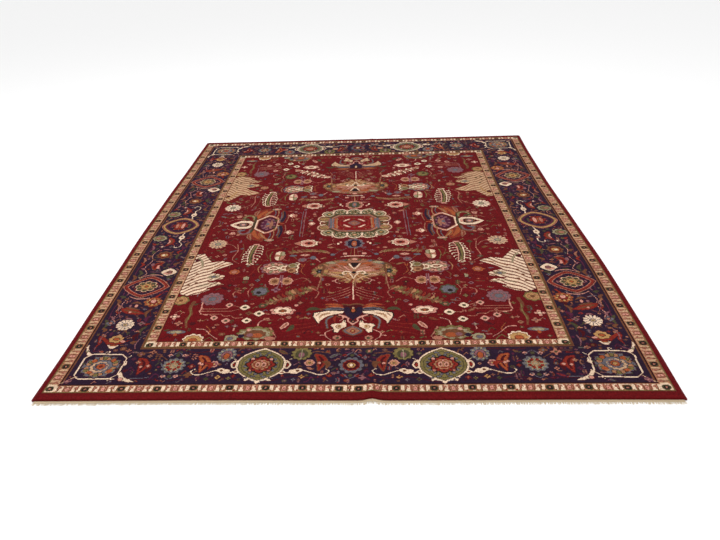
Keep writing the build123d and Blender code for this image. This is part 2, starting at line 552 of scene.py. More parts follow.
def corner_flower(cartoon, a, b):
    """The corner blocks: a full-blown flower in an angular ivory frame."""
    for sides in FOUR_WAYS:
        s = Stamp(cartoon, a, b, sides, 190)
        s.block(0, 0, 91, 85, "ivory", 26)
        s.block(0, 0, 84, 78, "indigo", 24)
        s.ring_of(0, 0, 78, 72, 16, 5, "moss", 10)
        s.shape([(90, -70), (112, -128), (104, -150), (88, -100), (58, -74)], "ivory")
        s.shape([(-86, 52), (-110, 92), (-150, 108), (-172, 100), (-120, 70), (-100, 34)], "ivory")
        s.shape([(-92, 82), (-60, 96), (-70, 76)], "ivory")
        s.disc(-112, 86, 12, "blush")
        s.disc(96, -98, 8, "sage")
        s.line([(-86, 10), (-98, -20), (-92, -50), (-106, -70)], 6, "ivory", 4)
        s.oval(-96, -14, 9, 13, "ivory")
        s.line([(0, -84), (-4, -104), (12, -96)], 6, "ivory", 4)
        s.line([(80, 70), (110, 104), (124, 110)], 5, "straw", 4)
        s.scallop(0, 0, 76, 70, 12, "slate", 0.1)
        s.ring_of(0, 0, 58, 53, 12, 10, "tan", 15)
        s.ring_of(0, 0, 60, 55, 6, 11, "olive", 30)
        s.ring_of(-4, -2, 56, 51, 4, 11, "orange", 50)
        s.scallop(0, 0, 43, 40, 9, "slate", 0.1)
        s.scallop(6, 4, 37, 34, 9, "straw", 0.1)
        s.scallop(2, 2, 30, 27, 9, "slate", 0.12)
        s.ring_of(0, 0, 21, 19, 7, 5, "mauve")
        s.disc(0, 0, 17, "orange")
        s.disc(0, 0, 8, "gold" if sides[0] > 0 else "brick")
        outer = Stamp(cartoon, a + 96, b + 96, sides, 40)
        bud(outer, 0, 0, 16, "mauve", "blush")
        outer.line([(-24, -22), (22, 22)], 4, "plum")


def side_medallion(s, rim, body, heart):
    """A lobed diamond of the side borders."""
    rings = ((116, 104, rim), (109, 98, "wine"), (105, 94, body), (92, 82, "rose"), (87, 77, "indigo"))
    for ru, rv, yarn in rings:
        s.lozenge(0, 0, ru, rv, yarn, 1.3)
    for half in s.halves():
        half.oval(66, 0, 8, 14, "mauve")
    s.ring_of(0, 0, 56, 53, 12, 6, "mauve", 15)
    s.ring_of(0, 0, 56, 53, 6, 6, "brick", 30)
    s.scallop(0, 0, 52, 48, 8, "straw", 0.14)
    s.scallop(0, 0, 46, 42, 8, "moss", 0.14)
    s.ring_of(0, 0, 32, 30, 8, 6, "tan", 22)
    s.scallop(0, 0, 24, 24, 8, heart, 0.12)
    s.disc(0, 0, 11, "orange")


def side_border(cartoon, middle):
    """The flowers of the navy border along both sides, a being the border's middle line."""
    for sides in FOUR_WAYS:

        def at(a, b, reach=70, turn=0):
            return Stamp(cartoon, middle + a, b, sides, reach, turn)

        back = at(0, 0, 40)
        back.line([(46, 300), (62, 360), (48, 430), (66, 500), (40, 560), (60, 600)], 4, "blush")
        back.line([(52, 790), (70, 850), (56, 900), (74, 960), (60, 1000)], 4, "blush")
        back.line([(-70, 250), (-84, 330), (-70, 420), (-60, 480)], 5, "plum")
        back.line([(80, 230), (96, 320), (84, 420), (98, 520), (88, 640)], 5, "plum")
        back.line([(96, 700), (88, 800), (100, 900), (92, 1000)], 5, "plum")
        back.line([(-84, 620), (-92, 700), (-84, 770)], 5, "plum")
        back.line([(-70, 880), (-90, 960), (-74, 1060), (-84, 1130)], 5, "wine")
        for k, b in enumerate(range(236, 1200, 46)):
            yarn, tip = BORDER_LEAVES[k % len(BORDER_LEAVES)]
            reach, lean = 84 + 12 * np.sin(b / 31), 16 * np.cos(b / 23)
            s = at(0, b, 110)
            by_field = [(-reach - 14, -22 + lean), (-reach + 8, 0), (-reach - 4, 30 - lean)]
            outside = [(reach + 12, -24 - lean), (reach - 8, 0), (reach + 2, 28 + lean)]
            s.leaf(by_field, 19, yarn, None, 3)
            s.leaf(outside, 19, tip, None, 3)
            s.leaf([(reach * 0.3, 10), (0, lean), (-reach * 0.3, 22)], 15, tip)

        arm = [(-46, 92), (-40, 130), (-44, 170), (-40, 205)]
        curl = [(-58, 235), (-54, 268), (-30, 276), (-24, 258)]
        back.line(arm + curl, 8, "ivory", 6)
        s = at(-42, 152, 50)
        s.oval(0, 0, 19, 27, "ivory")
        s.disc(0, -4, 7, "walnut")
        s = at(80, 160, 60, 90)
        fan(s, 34, 38, "sage", "olive", "rose", "soot", 9)
        s.line([(0, -30), (0, 26)], 5, "mauve")
        s = at(10, 205)
        s.leaf([(14, -52), (-8, 0), (14, 54)], 34, "brick", "walnut", 5, "wine")
        s.leaf([(14, -30), (4, 0), (12, 30)], 10, "blush")
        s = at(40, 262, 60)
        bud(s, 0, 0, 18, "mauve", "ivory")
        bud(s, -50, 4, 15, "slate")
        bud(s, 34, -30, 10, "olive")

        s = at(0, 362)
        rosette(s, 40, "walnut", "wine", "brick", "gold", 8)
        s.oval(0, 0, 20, 17, "gold")
        s.oval(4, 0, 9, 8, "ivory")
        s = at(-44, 430, 50)
        bud(s, 0, 0, 15, "plum", "slate")
        bud(s, 86, 0, 14, "moss", "sage")

        s = at(8, 480, 80)
        s.leaf([(-26, -36), (8, 0), (0, 46)], 34, "brick", "wine", 5, "walnut")
        s.oval(-10, 14, 8, 22, "blush")
        s.oval(26, -14, 12, 18, "mauve")

        s = at(-72, 548, 70)
        s.lozenge(0, 0, 46, 42, "soot", 1.25)
        s.lozenge(0, 0, 42, 38, "ivory", 1.25)
        s.oval(2, 12, 24, 14, "blush")
        s.disc(-4, 0, 16, "walnut")
        s.disc(-4, 0, 8, "mauve")
        s.line([(40, 0), (100, -4)], 4, "mauve")

        side_medallion(at(0, 690, 130), "rose", "brick", "gold")
        for end in (-1, 1):
            s = at(0, 690 + end * 98, 40)
            s.line([(-50, end * 6), (-20, end * 16), (20, end * 14), (54, end * -6)], 7, "blush")
        s = at(58, 600, 40)
        bud(s, 0, 0, 14, "sage", "orange")
        bud(s, 2, 186, 16, "sage", "olive")
        s = at(98, 640, 40)
        bud(s, 0, 0, 11, "slate")
        s.disc(0, 110, 8, "slate")
        s = at(-90, 620, 40)
        bud(s, 0, 0, 11, "slate")
        bud(s, 6, 140, 11, "moss")

        s = at(-74, 832, 70)
        fan(s, 40, 36, "orange", "brick", "blush", "walnut", 9)
        s.ring_of(0, 0, 28, 24, 8, 6, "gold")
        s = at(10, 860, 40)
        s.oval(-12, 6, 10, 16, "blush")
        s.oval(16, 6, 9, 14, "mauve")
        s = at(6, 912, 80)
        s.leaf([(56, -22), (10, -2), (-66, 22)], 44, "brick", "walnut", 7, "wine")
        s.leaf([(40, -34), (0, -22), (-40, -10)], 14, "walnut")
        s.disc(8, 8, 7, "blush")
        s.line([(62, -60), (68, -10), (50, 34), (66, 66)], 6, "mauve", 4)

        s = at(4, 1022, 70)
        daisy(s, 44, "ivory", "slate", "straw")
        s.disc(0, 0, 6, "olive")
        bud(at(74, 1010, 50), 0, 0, 22, "slate", "rose")
        s = at(-66, 1010, 50)
        bud(s, 0, 0, 20, "mauve", "moss")
        bud(s, 0, 66, 13, "rose", "gold")
        bud(s, 64, 76, 10, "mauve")

        s = at(6, 1140, 80)
        s.shape([(-70, -4), (-30, 28), (30, 32), (88, -30), (72, -34), (24, 4), (-30, 2)], "brick")
        s.scallop(0, -10, 34, 26, 7, "gold", 0.14)
        s.oval(0, -10, 16, 12, "orange")
        s.shape([(-28, 34), (28, 34), (8, 62), (-8, 62)], "ivory")
        s.oval(0, 38, 16, 6, "orange")
        s.oval(-34, 6, 12, 8, "blush")
        s.line([(58, -60), (70, -20), (66, 20)], 6, "mauve")
        s = at(-96, 1170, 40)
        s.line([(0, -40), (6, 0), (-2, 34)], 6, "mauve")
        bud(s, 22, 44, 16, "rose", "tan")
    for side in (-1, 1):
        s = Stamp(cartoon, middle, 0, (side, 1), 130)
        outer = ((110, 112, "rose"), (104, 106, "walnut"), (101, 103, "gold"))
        inner = ((92, 92, "olive"), (88, 88, "plum"), (76, 74, "indigo"))
        for ru, rv, yarn in outer + inner:
            s.lozenge(0, 0, ru, rv, yarn, 1.55)
        s.ring_of(0, 0, 50, 54, 10, 6, "clay", 18)
        s.scallop(0, 0, 42, 52, 6, "brick", 0.15)
        s.oval(-16, 0, 10, 34, "blush")
        s.oval(18, 0, 9, 30, "rose")
        s.oval(0, 0, 7, 26, "orange")
        s.block(-52, 0, 5, 24, "moss")
        s.block(52, 0, 5, 24, "plum")


# The field -----------------------------------------------------------------------------------------


def central_medallion(cartoon):
    """The frame of rosettes about a red panel, in the middle of the field."""
    s = Stamp(cartoon, 0, 0, (1, 1), 270)
    top = [(u, v) for u in (-80, 0, 80) for v in (-150, 150)]
    sides = [(u, v) for u in (-170, 170) for v in (-58, 58)]
    corners = [(u, v) for u in (-146, 146) for v in (-122, 122)]
    for grow, yarn in ((6, "walnut"), (2, "ivory"), (-5, "moss")):
        for u, v in top + sides + corners:
            s.disc(u, v, 40 + grow, yarn)
        s.block(0, 0, 172 + grow, 136 + grow, yarn, 60)
    for k, (u, v) in enumerate(top):
        s.ring_of(u, v, 24, 24, 8, 6, "sage")
        s.ring_of(u, v, 24, 24, 4, 5, "straw", 22)
        s.disc(u, v, 15, "olive")
        s.disc(u, v, 10, "rose" if k == 2 else "soot")
        s.disc(u, v, 5, "straw")
    for u, v in sides:
        s.block(u, v, 32, 27, "walnut", 16)
        s.block(u, v, 27, 20, "tan", 14)
        s.block(u, v, 20, 12, "olive", 8)
        s.line([(u - 18, v - 8), (u + 18, v + 8)], 5, "gold")
    for u, v in corners:
        s.lozenge(u, v, 38, 40, "walnut", 1.5)
        s.lozenge(u, v, 32, 34, "sage", 1.5)
        s.lozenge(u, v, 18, 20, "moss", 1.5)
        s.disc(u, v, 8, "gold")
    for side in (-1, 1):
        for u in (-41, 41, -121, 121):
            s.line([(u, side * 178), (u * 1.02, side * 150), (u, side * 124)], 8, "ivory", 5)
            s.disc(u, side * 168, 7, "blush")
        for v in (-92, -28, 28, 92):
            s.line([(side * 198, v), (side * 154, v)], 6, "straw")
        s.block(side * 170, 0, 16, 14, "walnut", 8)
        s.line([(side * 190, -28), (side * 196, 0), (side * 190, 28)], 6, "ivory")
        for v in (-58, 58):
            s.line([(side * 196, v - 30), (side * 210, v), (side * 196, v + 30)], 6, "blush")
    s.block(0, 0, 134, 112, "walnut", 40)
    s.block(0, 0, 130, 108, "rose", 40)
    for side in (-1, 1):
        s.block(side * 134, 0, 9, 66, "slate", 6)
        s.block(side * 144, 0, 4, 60, "mauve", 4)
    s.block(0, 0, 122, 101, "slate", 38)
    s.block(0, 0, 116, 96, "brick", 36)
    for side in (-1, 1):
        s.block(side * 108, 0, 6, 66, "orange", 4)
        s.block(side * 99, 0, 3, 72, "tan")
    s.block(0, 0, 94, 88, "cherry", 26)
    s.block(0, 0, 84, 66, "brick", 30)
    s.block(0, 0, 78, 60, "cherry", 28)
    s.lozenge(0, 0, 40, 38, "walnut", 1.3)
    s.lozenge(0, 0, 32, 30, "mauve", 1.3)
    bud(s, 0, 0, 18, "clay", "mauve")
    for u in (-1, 1):
        for v in (-1, 1):
            s.line([(u * 28, v * 50), (u * 44, v * 40), (u * 58, v * 24)], 20, "wine")
            s.line([(u * 28, v * 50), (u * 44, v * 40), (u * 58, v * 24)], 14, "blush")
            s.line([(u * 34, v * 46), (u * 52, v * 32)], 6, "ivory")
            s.disc(u * 92, v * 50, 6, "rose")
            s.disc(u * 62, v * 78, 5, "rose")
    s.disc(0, 60, 8, "walnut")
    s.disc(0, -60, 8, "walnut")


def pendant(s, front):
    """The small palmette at each end of the medallion."""
    s.scallop(0, 0, 54, 60, 9, "mauve" if front else "blush", 0.12)
    s.scallop(0, 0, 46, 51, 9, "slate" if front else "rose", 0.12)
    s.scallop(0, 0, 36, 43, 7, "indigo" if front else "moss", 0.14)
    s.oval(0, 2, 14, 34, "orange" if front else "slate")
    s.oval(0, 4, 7, 18, "rose")
    for half in s.halves():
        half.oval(72, -14, 9, 14, "blush")
        half.oval(86, 4, 9, 14, "ivory")
        half.line([(44, 60), (76, 86), (100, 122)], 6, "mauve")
        half.disc(114, 128, 15, "slate")
        half.block(50, 116, 15, 13, "blush", 6)
        half.line([(16, 66), (20, 130)], 4, "walnut")
    s.line([(0, 58), (0, 136)], 4, "tan")


def great_palmette(s, front):
    """The largest palmette of the field: v runs from the medallion to the rug's end."""
    crest = "olive mauve slate moss tan" if front else "walnut tan mauve olive clay"
    s.ogee(0, -6, 190, 112, "walnut", 0.34)
    feathers(s, (0, 30), (120, 84), (196, 146), (196, 344), 33, 20, crest)
    s.scallop(0, -4, 150, 88, 15, "clay", 0.08)
    feathers(s, (0, 24), (40, 20), (146, 98), (192, 348), 29, 22, "orange rose clay orange brick walnut")
    feathers(s, (0, 20), (20, 8), (112, 66), (184, 356), 23, 18, "rose clay blush rose tan")
    feathers(s, (0, 44), (10, 4), (134, 58), (-14, 194), 27, 18, "tan clay gold walnut straw rose")
    feathers(s, (0, 60), (6, 4), (88, 92), (14, 166), 21, 15, "walnut gold tan clay gold brick")
    for side in (-1, 1):
        s.scallop(side * 168, 26, 44, 56, 9, "walnut", 0.12)
        feathers(s, (side * 168, 26), (12, 14), (46, 58), (0, 340), 17, 13, "gold tan olive clay")
    for half in s.halves():
        half.scallop(170, 22, 20, 24, 6, "moss", 0.15)
        half.oval(170, 22, 13, 16, "soot")
        half.oval(171, 24, 6, 8, "slate")
        half.oval(118, -66, 28, 13, "sage")
        half.oval(62, -58, 26, 13, "orange")
        half.line([(27, -54), (14, -24), (2, -2)], 8, "ivory", 6)
        half.line([(150, -34), (158, 60), (156, 150)], 14, "walnut", 8)
        half.line([(156, 60), (162, 120), (172, 200)], 6, "clay")
        half.line([(10, 34), (24, 26), (44, 22), (58, 36)], 13, "ivory", 6)
        half.line([(52, 34), (54, 52), (36, 44)], 7, "ivory", 5)
        half.line([(20, 46), (10, 64), (2, 92)], 7, "ivory", 5)
        half.disc(40, 38, 6, "olive")
        half.oval(62, 58, 12, 8, "moss")
        half.line([(124, 42), (84, 58), (46, 78), (16, 110)], 6, "straw")
        half.line([(60, 142), (84, 128), (86, 106), (72, 98)], 10, "blush", 7)
        half.line([(86, 112), (106, 118)], 10, "blush", 5)
        half.disc(66, 114, 9, "walnut")
        half.disc(30, 130, 9, "gold")
        half.line([(176, -76), (192, -104), (204, -128)], 9, "blush", 6)
        half.oval(216, -122, 18, 22, "slate")
    s.shape([(-24, -70), (24, -70), (8, -20), (-8, -20)], "soot")
    s.oval(0, -108, 26, 20, "walnut")
    s.oval(0, -106, 15, 11, "blush")
    s.line([(0, -10), (0, 20)], 6, "straw")
    s.disc(0, 14, 6, "gold")
    s.lozenge(0, 34, 13, 15, "soot", 1.3)
    s.line([(0, 118), (0, 150)], 6, "straw")
    cap = [(-72, -132), (-40, -141), (0, -143), (40, -141), (70, -132)]
    s.line(cap, 10, "blush" if front else "slate")
    s.line([(-50, -139), (0, -143), (50, -139)], 5, "ivory")


def chevron_stem(s, length):
    """The ivory stem with slanting side twigs, between the two palmettes."""
    for half in s.halves():
        for k in range(4):
            foot = 14 + k * 24
            reach = 138 - abs(k - 1) * 22
            twig = [(14, foot), (reach * 0.5, foot + reach * 0.27), (reach, foot + reach * 0.5)]
            half.line(twig, 4.6, "rose")
        half.disc(118, 108, 10, "moss")
        half.line([(96, 116), (74, 142)], 5, "mauve")
    s.line([(0, 0), (0, length)], 7, "blush")
    s.line([(0, 2), (0, length - 8)], 4, "ivory")
    s.disc(0, length + 24, 8, "blush")


def end_palmette(s, front):
    """The palmette with ivory wings next to each end of the field."""
    fire, pale = ("brick", "ivory") if front else ("walnut", "straw")
    s.scallop(0, -62, 150, 58, 13, "walnut", 0.1)
    s.scallop(0, -58, 138, 50, 13, "wine", 0.1)
    for half in s.halves():
        half.leaf([(44, -100), (90, -116), (150, -112)], 32, fire, "orange", 4)
        half.leaf([(40, -84), (84, -98), (128, -92)], 16, "orange", None, 3)
        half.leaf([(34, -76), (84, -78), (140, -68)], 24, "slate", "indigo", 0)
        half.disc(114, -74, 11, "slate")
        half.leaf([(150, -76), (190, -80), (214, -60)], 26, "moss")
        half.oval(28, -66, 16, 26, "indigo")
        wing = [
            (42, -56), (112, -62), (172, -44), (176, -18), (160, 18),
            (150, 44), (140, 16), (118, -10), (90, -30), (46, -42),
        ]
        half.shape([(u * 1.035, v * 1.1 - 1) for u, v in wing], "soot")
        half.shape(wing, pale)
        half.leaf([(96, -44), (134, -30), (152, 6)], 16, "straw", "tan", 0)
        half.line([(150, -44), (164, -22)], 5, "clay")
        half.line([(92, -18), (116, 14), (110, 78)], 15, "walnut", 12)
        half.line([(94, -16), (117, 14), (111, 74)], 9, "slate", 7)
        half.leaf([(76, -22), (82, 6), (76, 40)], 20, fire)
        petal = [
            (36, 8), (48, 36), (86, 42), (96, 58), (82, 76),
            (82, 108), (62, 110), (50, 84), (26, 66), (24, 46),
        ]
        half.shape([(u * 1.06, v * 1.03) for u, v in petal], "soot")
        half.shape(petal, pale)
        half.oval(62, 66, 13, 16, "straw")
        half.oval(58, 62, 6, 9, "gold")
        half.line([(62, -26), (46, -18), (44, 4), (56, 18)], 10, "blush", 7)
        half.line([(40, -14), (20, 4), (22, 22), (0, 50)], 14, "blush", 12)
        half.line([(33, -2), (38, 30)], 4, "soot")
        branch = [(88, 88), (118, 110), (116, 138), (92, 166)]
        half.line(branch, 9, "blush", 6)
        half.line([(114, 128), (146, 132)], 5, "blush")
        half.scallop(68, 148, 21, 18, 7, "rose", 0.14)
        half.disc(66, 150, 8, "moss")
    s.shape([(-40, -46), (40, -46), (26, -14), (0, 14), (-26, -14)], "indigo")
    s.oval(0, -62, 15, 22, "soot")
    s.oval(0, -64, 8, 15, "orange" if front else "straw")
    s.disc(0, -84, 6, "straw")
    s.lozenge(0, 26, 14, 16, "soot", 1.2)
    s.disc(0, 26, 4, "rose")
    s.ogee(0, 96, 46, 40, "walnut", 0.6)
    s.ogee(0, 96, 40, 34, "slate", 0.6)
    s.ogee(0, 96, 28, 26, "clay", 0.6)
    s.oval(0, 100, 12, 14, "brick")
    s.disc(0, 98, 5, "gold")
    s.line([(-44, 132), (0, 142), (44, 132)], 6, "wine")


def side_palmette(s):
    """The great flower at the middle of each side: u runs out to the side border."""
    for half in s.halves(lying=True):
        to_back = half.flip[1] > 0
        half.leaf([(70, 60), (64, 130), (10, 222)], 84, "brick", "orange", 5, "walnut")
        half.leaf([(30, 104), (20, 150), (-20, 206)], 36, "orange", "tan", 3)
        half.leaf([(86, 120), (92, 160), (70, 214)], 30, "clay", "brick", 3)
        half.line([(-24, 112), (-30, 150), (-20, 200)], 9, "slate", 6)
        half.line([(-42, 92), (-48, 140), (-42, 196)], 9, "tan", 6)
        half.line([(-72, 34), (-84, 100), (-76, 176)], 30, "walnut", 16)
        half.line([(-76, 36), (-88, 100), (-80, 170)], 20, "indigo", 10)
        half.line([(-62, 40), (-70, 100), (-64, 160)], 7, "slate", 5)
        half.oval(-30, 208, 30, 16, "sage")
        half.oval(-30, 208, 16, 8, "blush")
        half.line([(-100, 16), (-110, 80), (-106, 130)], 6, "clay")
        arch = [(90, 60), (94, 108), (130, 130), (158, 104), (156, 66)]
        half.line(arch, 24, "walnut", 18)
        arch = [(92, 70), (98, 104), (130, 122), (152, 100), (150, 66)]
        half.line(arch, 15, "olive" if to_back else "mauve", 12)
        half.line(arch, 5, "sage" if to_back else "slate", 4)
        half.leaf([(120, 62), (140, 78), (176, 84)], 20, "slate" if not to_back else "moss")
        half.line([(146, 62), (196, 74), (236, 50)], 7, "rose")
        half.disc(190, 106, 15, "blush")
        half.disc(188, 108, 6, "clay")
        half.disc(156, 134, 12, "rose")
        half.line([(176, 150), (206, 160)], 8, "rose", 5)
        half.oval(228, 104, 12, 14, "clay")
    hexagon = [(74, 58), (8, 124), (-14, 116), (-54, 78), (-58, 30)]
    hexagon += [(u, -v) for u, v in hexagon[::-1]]
    for shrink, yarn in ((1.05, "walnut"), (1.0, "blush"), (0.88, "clay"), (0.84, "wine")):
        s.shape([(u * shrink, v * shrink) for u, v in hexagon], yarn)
    s.line([(70, -54), (70, 54)], 8, "ivory")
    s.line([(66, 62), (10, 116)], 6, "ivory")
    s.line([(66, -62), (10, -116)], 6, "ivory")
    s.oval(0, 0, 42, 84, "plum")
    s.ring_of(0, 0, 36, 68, 10, 8, "mauve", 18)
    s.leaf([(14, -56), (-6, 0), (14, 56)], 40, "mauve", "rose", 5)
    s.leaf([(-14, -60), (-20, 0), (-14, 60)], 20, "clay", None, 5)
    s.oval(2, 0, 10, 18, "slate")
    for half in s.halves(lying=True):
        half.disc(-40, 44, 10, "moss")
        half.disc(-44, 78, 10, "tan")
        half.disc(-54, 60, 7, "gold")
        half.disc(-60, 22, 8, "straw")
    s.line([(-62, 0), (-98, 0)], 18, "brick", 10)
    s.line([(-70, 0), (-90, 0)], 7, "orange")
    s.line([(86, -104), (84, 0), (86, 106)], 9, "moss")
    s.line([(80, -90), (78, 0), (80, 92)], 3.6, "soot")
    eye = [(90, 30), (112, 50), (168, 50), (204, 24)]
    eye += [(226, 0)] + [(u, -v) for u, v in eye[::-1]]
    s.shape([(u * 1.02 - 2, v * 1.12) for u, v in eye], "wine")
    s.shape(eye, "ivory")
    s.shape([(u * 0.62 + 56, v * 0.56) for u, v in eye], "wine")
    s.disc(148, 0, 27, "walnut")
    s.disc(148, 0, 18, "slate")
    s.disc(146, 0, 11, "blush")
    s.oval(193, 0, 9, 8, "brick")
    s.block(104, 0, 8, 14, "blush", 4)


def comb_leaf(s):
    """The tall leaf with an olive middle and long ivory teeth that hook upwards on both sides."""
    for k in range(7):
        v = -84 + k * 28
        bend = 8 * np.sin(v / 60)
        reach = 46 - abs(v) * 0.14
        s.line([(bend + 12, v - 8), (bend + reach, v - 2), (bend + reach + 2, v + 12)], 10, "ivory", 7)
        s.line([(bend - 12, v - 8), (bend - reach, v - 2), (bend - reach - 2, v + 12)], 10, "ivory", 7)
    s.line([(-6, -100), (4, -40), (8, 30), (-2, 104)], 34, "wine", 28)
    s.line([(-20, -96), (-10, -40), (-8, 30), (-16, 100)], 6, "blush")
    s.line([(10, -96), (20, -40), (22, 30), (12, 100)], 6, "ivory")
    s.line([(-6, -92), (4, -40), (8, 30), (-2, 98)], 17, "olive", 13)
    s.line([(-4, -70), (3, 0), (2, 70)], 5, "moss")
    s.oval(-2, 114, 24, 11, "ivory")
    s.oval(-2, 114, 12, 5, "moss")
    s.oval(-6, -108, 20, 9, "blush")


def lying_palmette(s, front):
    """The ivory and brown palmette that lies on its side, its stalk towards the rug's middle."""
    s.scallop(10, 0, 72, 66, 10, "mauve" if front else "slate", 0.12)
    s.scallop(10, 0, 60, 56, 10, "walnut", 0.12)
    s.ring_of(12, 0, 44, 42, 10, 12, "blush", 18)
    s.ring_of(12, 0, 42, 40, 5, 12, "sage", 0)
    s.ring_of(12, 0, 44, 42, 10, 5, "clay", 18)
    s.lozenge(14, 0, 42, 27, "walnut", 1.3)
    s.lozenge(14, 0, 36, 22, "ivory", 1.3)
    s.oval(16, 0, 19, 11, "walnut")
    s.oval(16, 0, 8, 5, "blush")
    s.shape([(-20, -14), (-54, -30), (-44, 0), (-54, 30), (-20, 14)], "ivory")
    s.shape([(-28, -8), (-46, -16), (-40, 0), (-46, 16), (-28, 8)], "clay")
    s.oval(-82, 0, 34, 52, "walnut")
    s.oval(-82, -26, 26, 24, "sage")
    s.oval(-82, 26, 26, 24, "tan")
    s.oval(-78, -26, 12, 12, "olive")
    s.oval(-78, 26, 12, 12, "walnut")
    frill = [(-92, -58), (-112, -44), (-104, -18), (-112, 0), (-104, 18), (-112, 44), (-92, 58)]
    s.line(frill, 8, "ivory")
    s.line([(-124, -40), (-128, 0), (-122, 44)], 5, "orange")
    s.line([(84, -40), (94, 0), (86, 40)], 6, "tan")
    s.line([(60, 54), (76, 84), (70, 110)], 6, "walnut")


def twin_flower(s):
    """Two brown flower heads side by side on mauve stalks."""
    for half in s.halves():
        half.scallop(30, 0, 31, 38, 8, "blush", 0.1)
        half.scallop(30, 0, 24, 30, 8, "tan", 0.1)
        half.disc(30, 0, 14, "walnut")
        half.line([(5, -60), (6, 10), (10, 54)], 6, "mauve")
    s.line([(-60, -4), (-110, -30), (-150, 8)], 5, "rose")


def field_spandrel(s, front):
    """The feathered half leaf that grows from the side border, striped on the slant."""
    pale, stripe, edge = ("ivory", "clay", "wine") if front else ("straw", "tan", "walnut")
    outline = [
        (96, -210), (50, -228), (20, -178), (-12, -126), (-62, -142), (-112, -118), (-126, -104),
        (-88, -74), (-52, -50), (-28, -18), (-64, -6), (-104, 16), (-100, 44), (-52, 62), (-24, 66),
        (-46, 78), (-82, 74), (-114, 102), (-66, 116), (-32, 138), (-58, 146), (-10, 184), (38, 200),
        (96, 172),
    ]
    s.shape([(u * 1.06, v * 1.03) for u, v in outline], edge)
    s.shape(outline, pale)
    slant = (s.v - s.u * 0.75 + 6 * np.sin(s.u / 17)) % 34
    s.shape(outline, stripe, slant < 13)
    s.shape(outline, edge, (slant > 3) & (slant < 9) & (s.u > -90))
    s.line([(-100, -104), (-50, -88), (0, -50)], 7, "tan" if front else "rose")
    s.oval(-50, 24, 30, 17, "sage")
    s.oval(-50, 24, 17, 10, "slate")
    s.line([(-92, 98), (-40, 96), (10, 120)], 7, "sage" if front else "walnut")
    s.line([(70, -180), (40, -130), (30, -80)], 16, "sage" if front else "gold", 8)
    s.oval(70, -152, 14, 16, "wine")
    for u, v in ((40, -10), (56, 40), (28, 78), (60, 100)):
        s.oval(u, v, 9, 7, "walnut" if front else "moss")


def serrated_branch(s, front):
    """The broad saw-edged leaf that crosses the field on the slant, in many short leaflets."""
    path = smooth_path([(124, 78), (56, 40), (0, 4), (-56, -36), (-136, -84)], 17)
    yarns = ("brick walnut olive tan walnut" if front else "ivory walnut blush ivory rose").split()
    for k, (u, v) in enumerate(path[1:-1]):
        for side in (-1, 1):
            reach = 44 * np.sin(np.pi * (k + 1.2) / len(path)) + 8
            tip = (u - 8 * side + 14, v + side * reach)
            leaflet = [(u, v), ((u + tip[0]) / 2 + 8, (v + tip[1]) / 2), tip]
            s.leaf(leaflet, 19, yarns[(k + (side > 0)) % len(yarns)])
    s.line([tuple(place) for place in path[::3]], 10, "clay" if front else "walnut", 5)
    s.line([tuple(place) for place in path[::3]], 4, "moss" if front else "blush")
    s.line([(-104, -66), (-132, -34), (-120, 18)], 6, "rose")
    s.scallop(120, 84, 20, 18, 6, "moss" if front else "rose", 0.2)
    s.disc(120, 84, 8, "clay")


def flowering_twigs(s, front):
    """Pink twigs that branch at right angles and end in small open flowers."""
    yarn = "blush" if front else "mauve"
    s.line([(112, -60), (108, -10), (112, 20), (90, 42), (66, 44)], 7, yarn, 5)
    for v, reach in ((-6, -12), (14, -40), (38, 8)):
        s.line([(108, v), (60, v + 1), (reach, v)], 4.4, "rose")
    s.line([(-12, -8), (-40, -30), (-76, -14)], 4, "rose")
    s.line([(-40, 14), (-70, 0), (-90, -12), (-120, -12)], 4.4, "rose")
    s.line([(8, 38), (-8, 56), (-40, 54), (-60, 74), (-96, 70)], 5, "rose")
    s.line([(-110, 42), (-160, 42)], 4, "rose")
    s.line([(60, 44), (36, 62)], 4.4, "rose")
    large = ((-95, -14, 26), (-168, 41, 27), (-117, 96, 25))
    small = ((-22, 94, 24), (35, 69, 22), (-20, -36, 22))
    for u, v, r in large + small:
        star_flower(s, u, v, r, "ivory" if (u, v, r) in large else "blush", "moss")


def garland(s, front):
    """A cluster of gold and olive leaves over a small pale palmette."""
    yarns = ("clay", "olive", "walnut") if front else ("olive", "walnut", "clay")
    for k in range(9):
        u = -96 + k * 24
        v = 10 - 18 * np.cos(u / 60)
        s.leaf([(u - 16, v + 20), (u, v), (u + 24, v - 22)], 20, yarns[k % 3], "walnut", 2)
    s.line([(-104, 20), (-40, 2), (30, 4), (108, 16)], 5, "tan")
    s.lozenge(20, 42, 30, 15, "walnut", 1.4)
    s.lozenge(20, 42, 24, 11, "blush", 1.4)
    s.disc(20, 40, 5, "walnut")
    s.line([(-30, 80), (-6, 76), (20, 92)], 9, "mauve", 5)


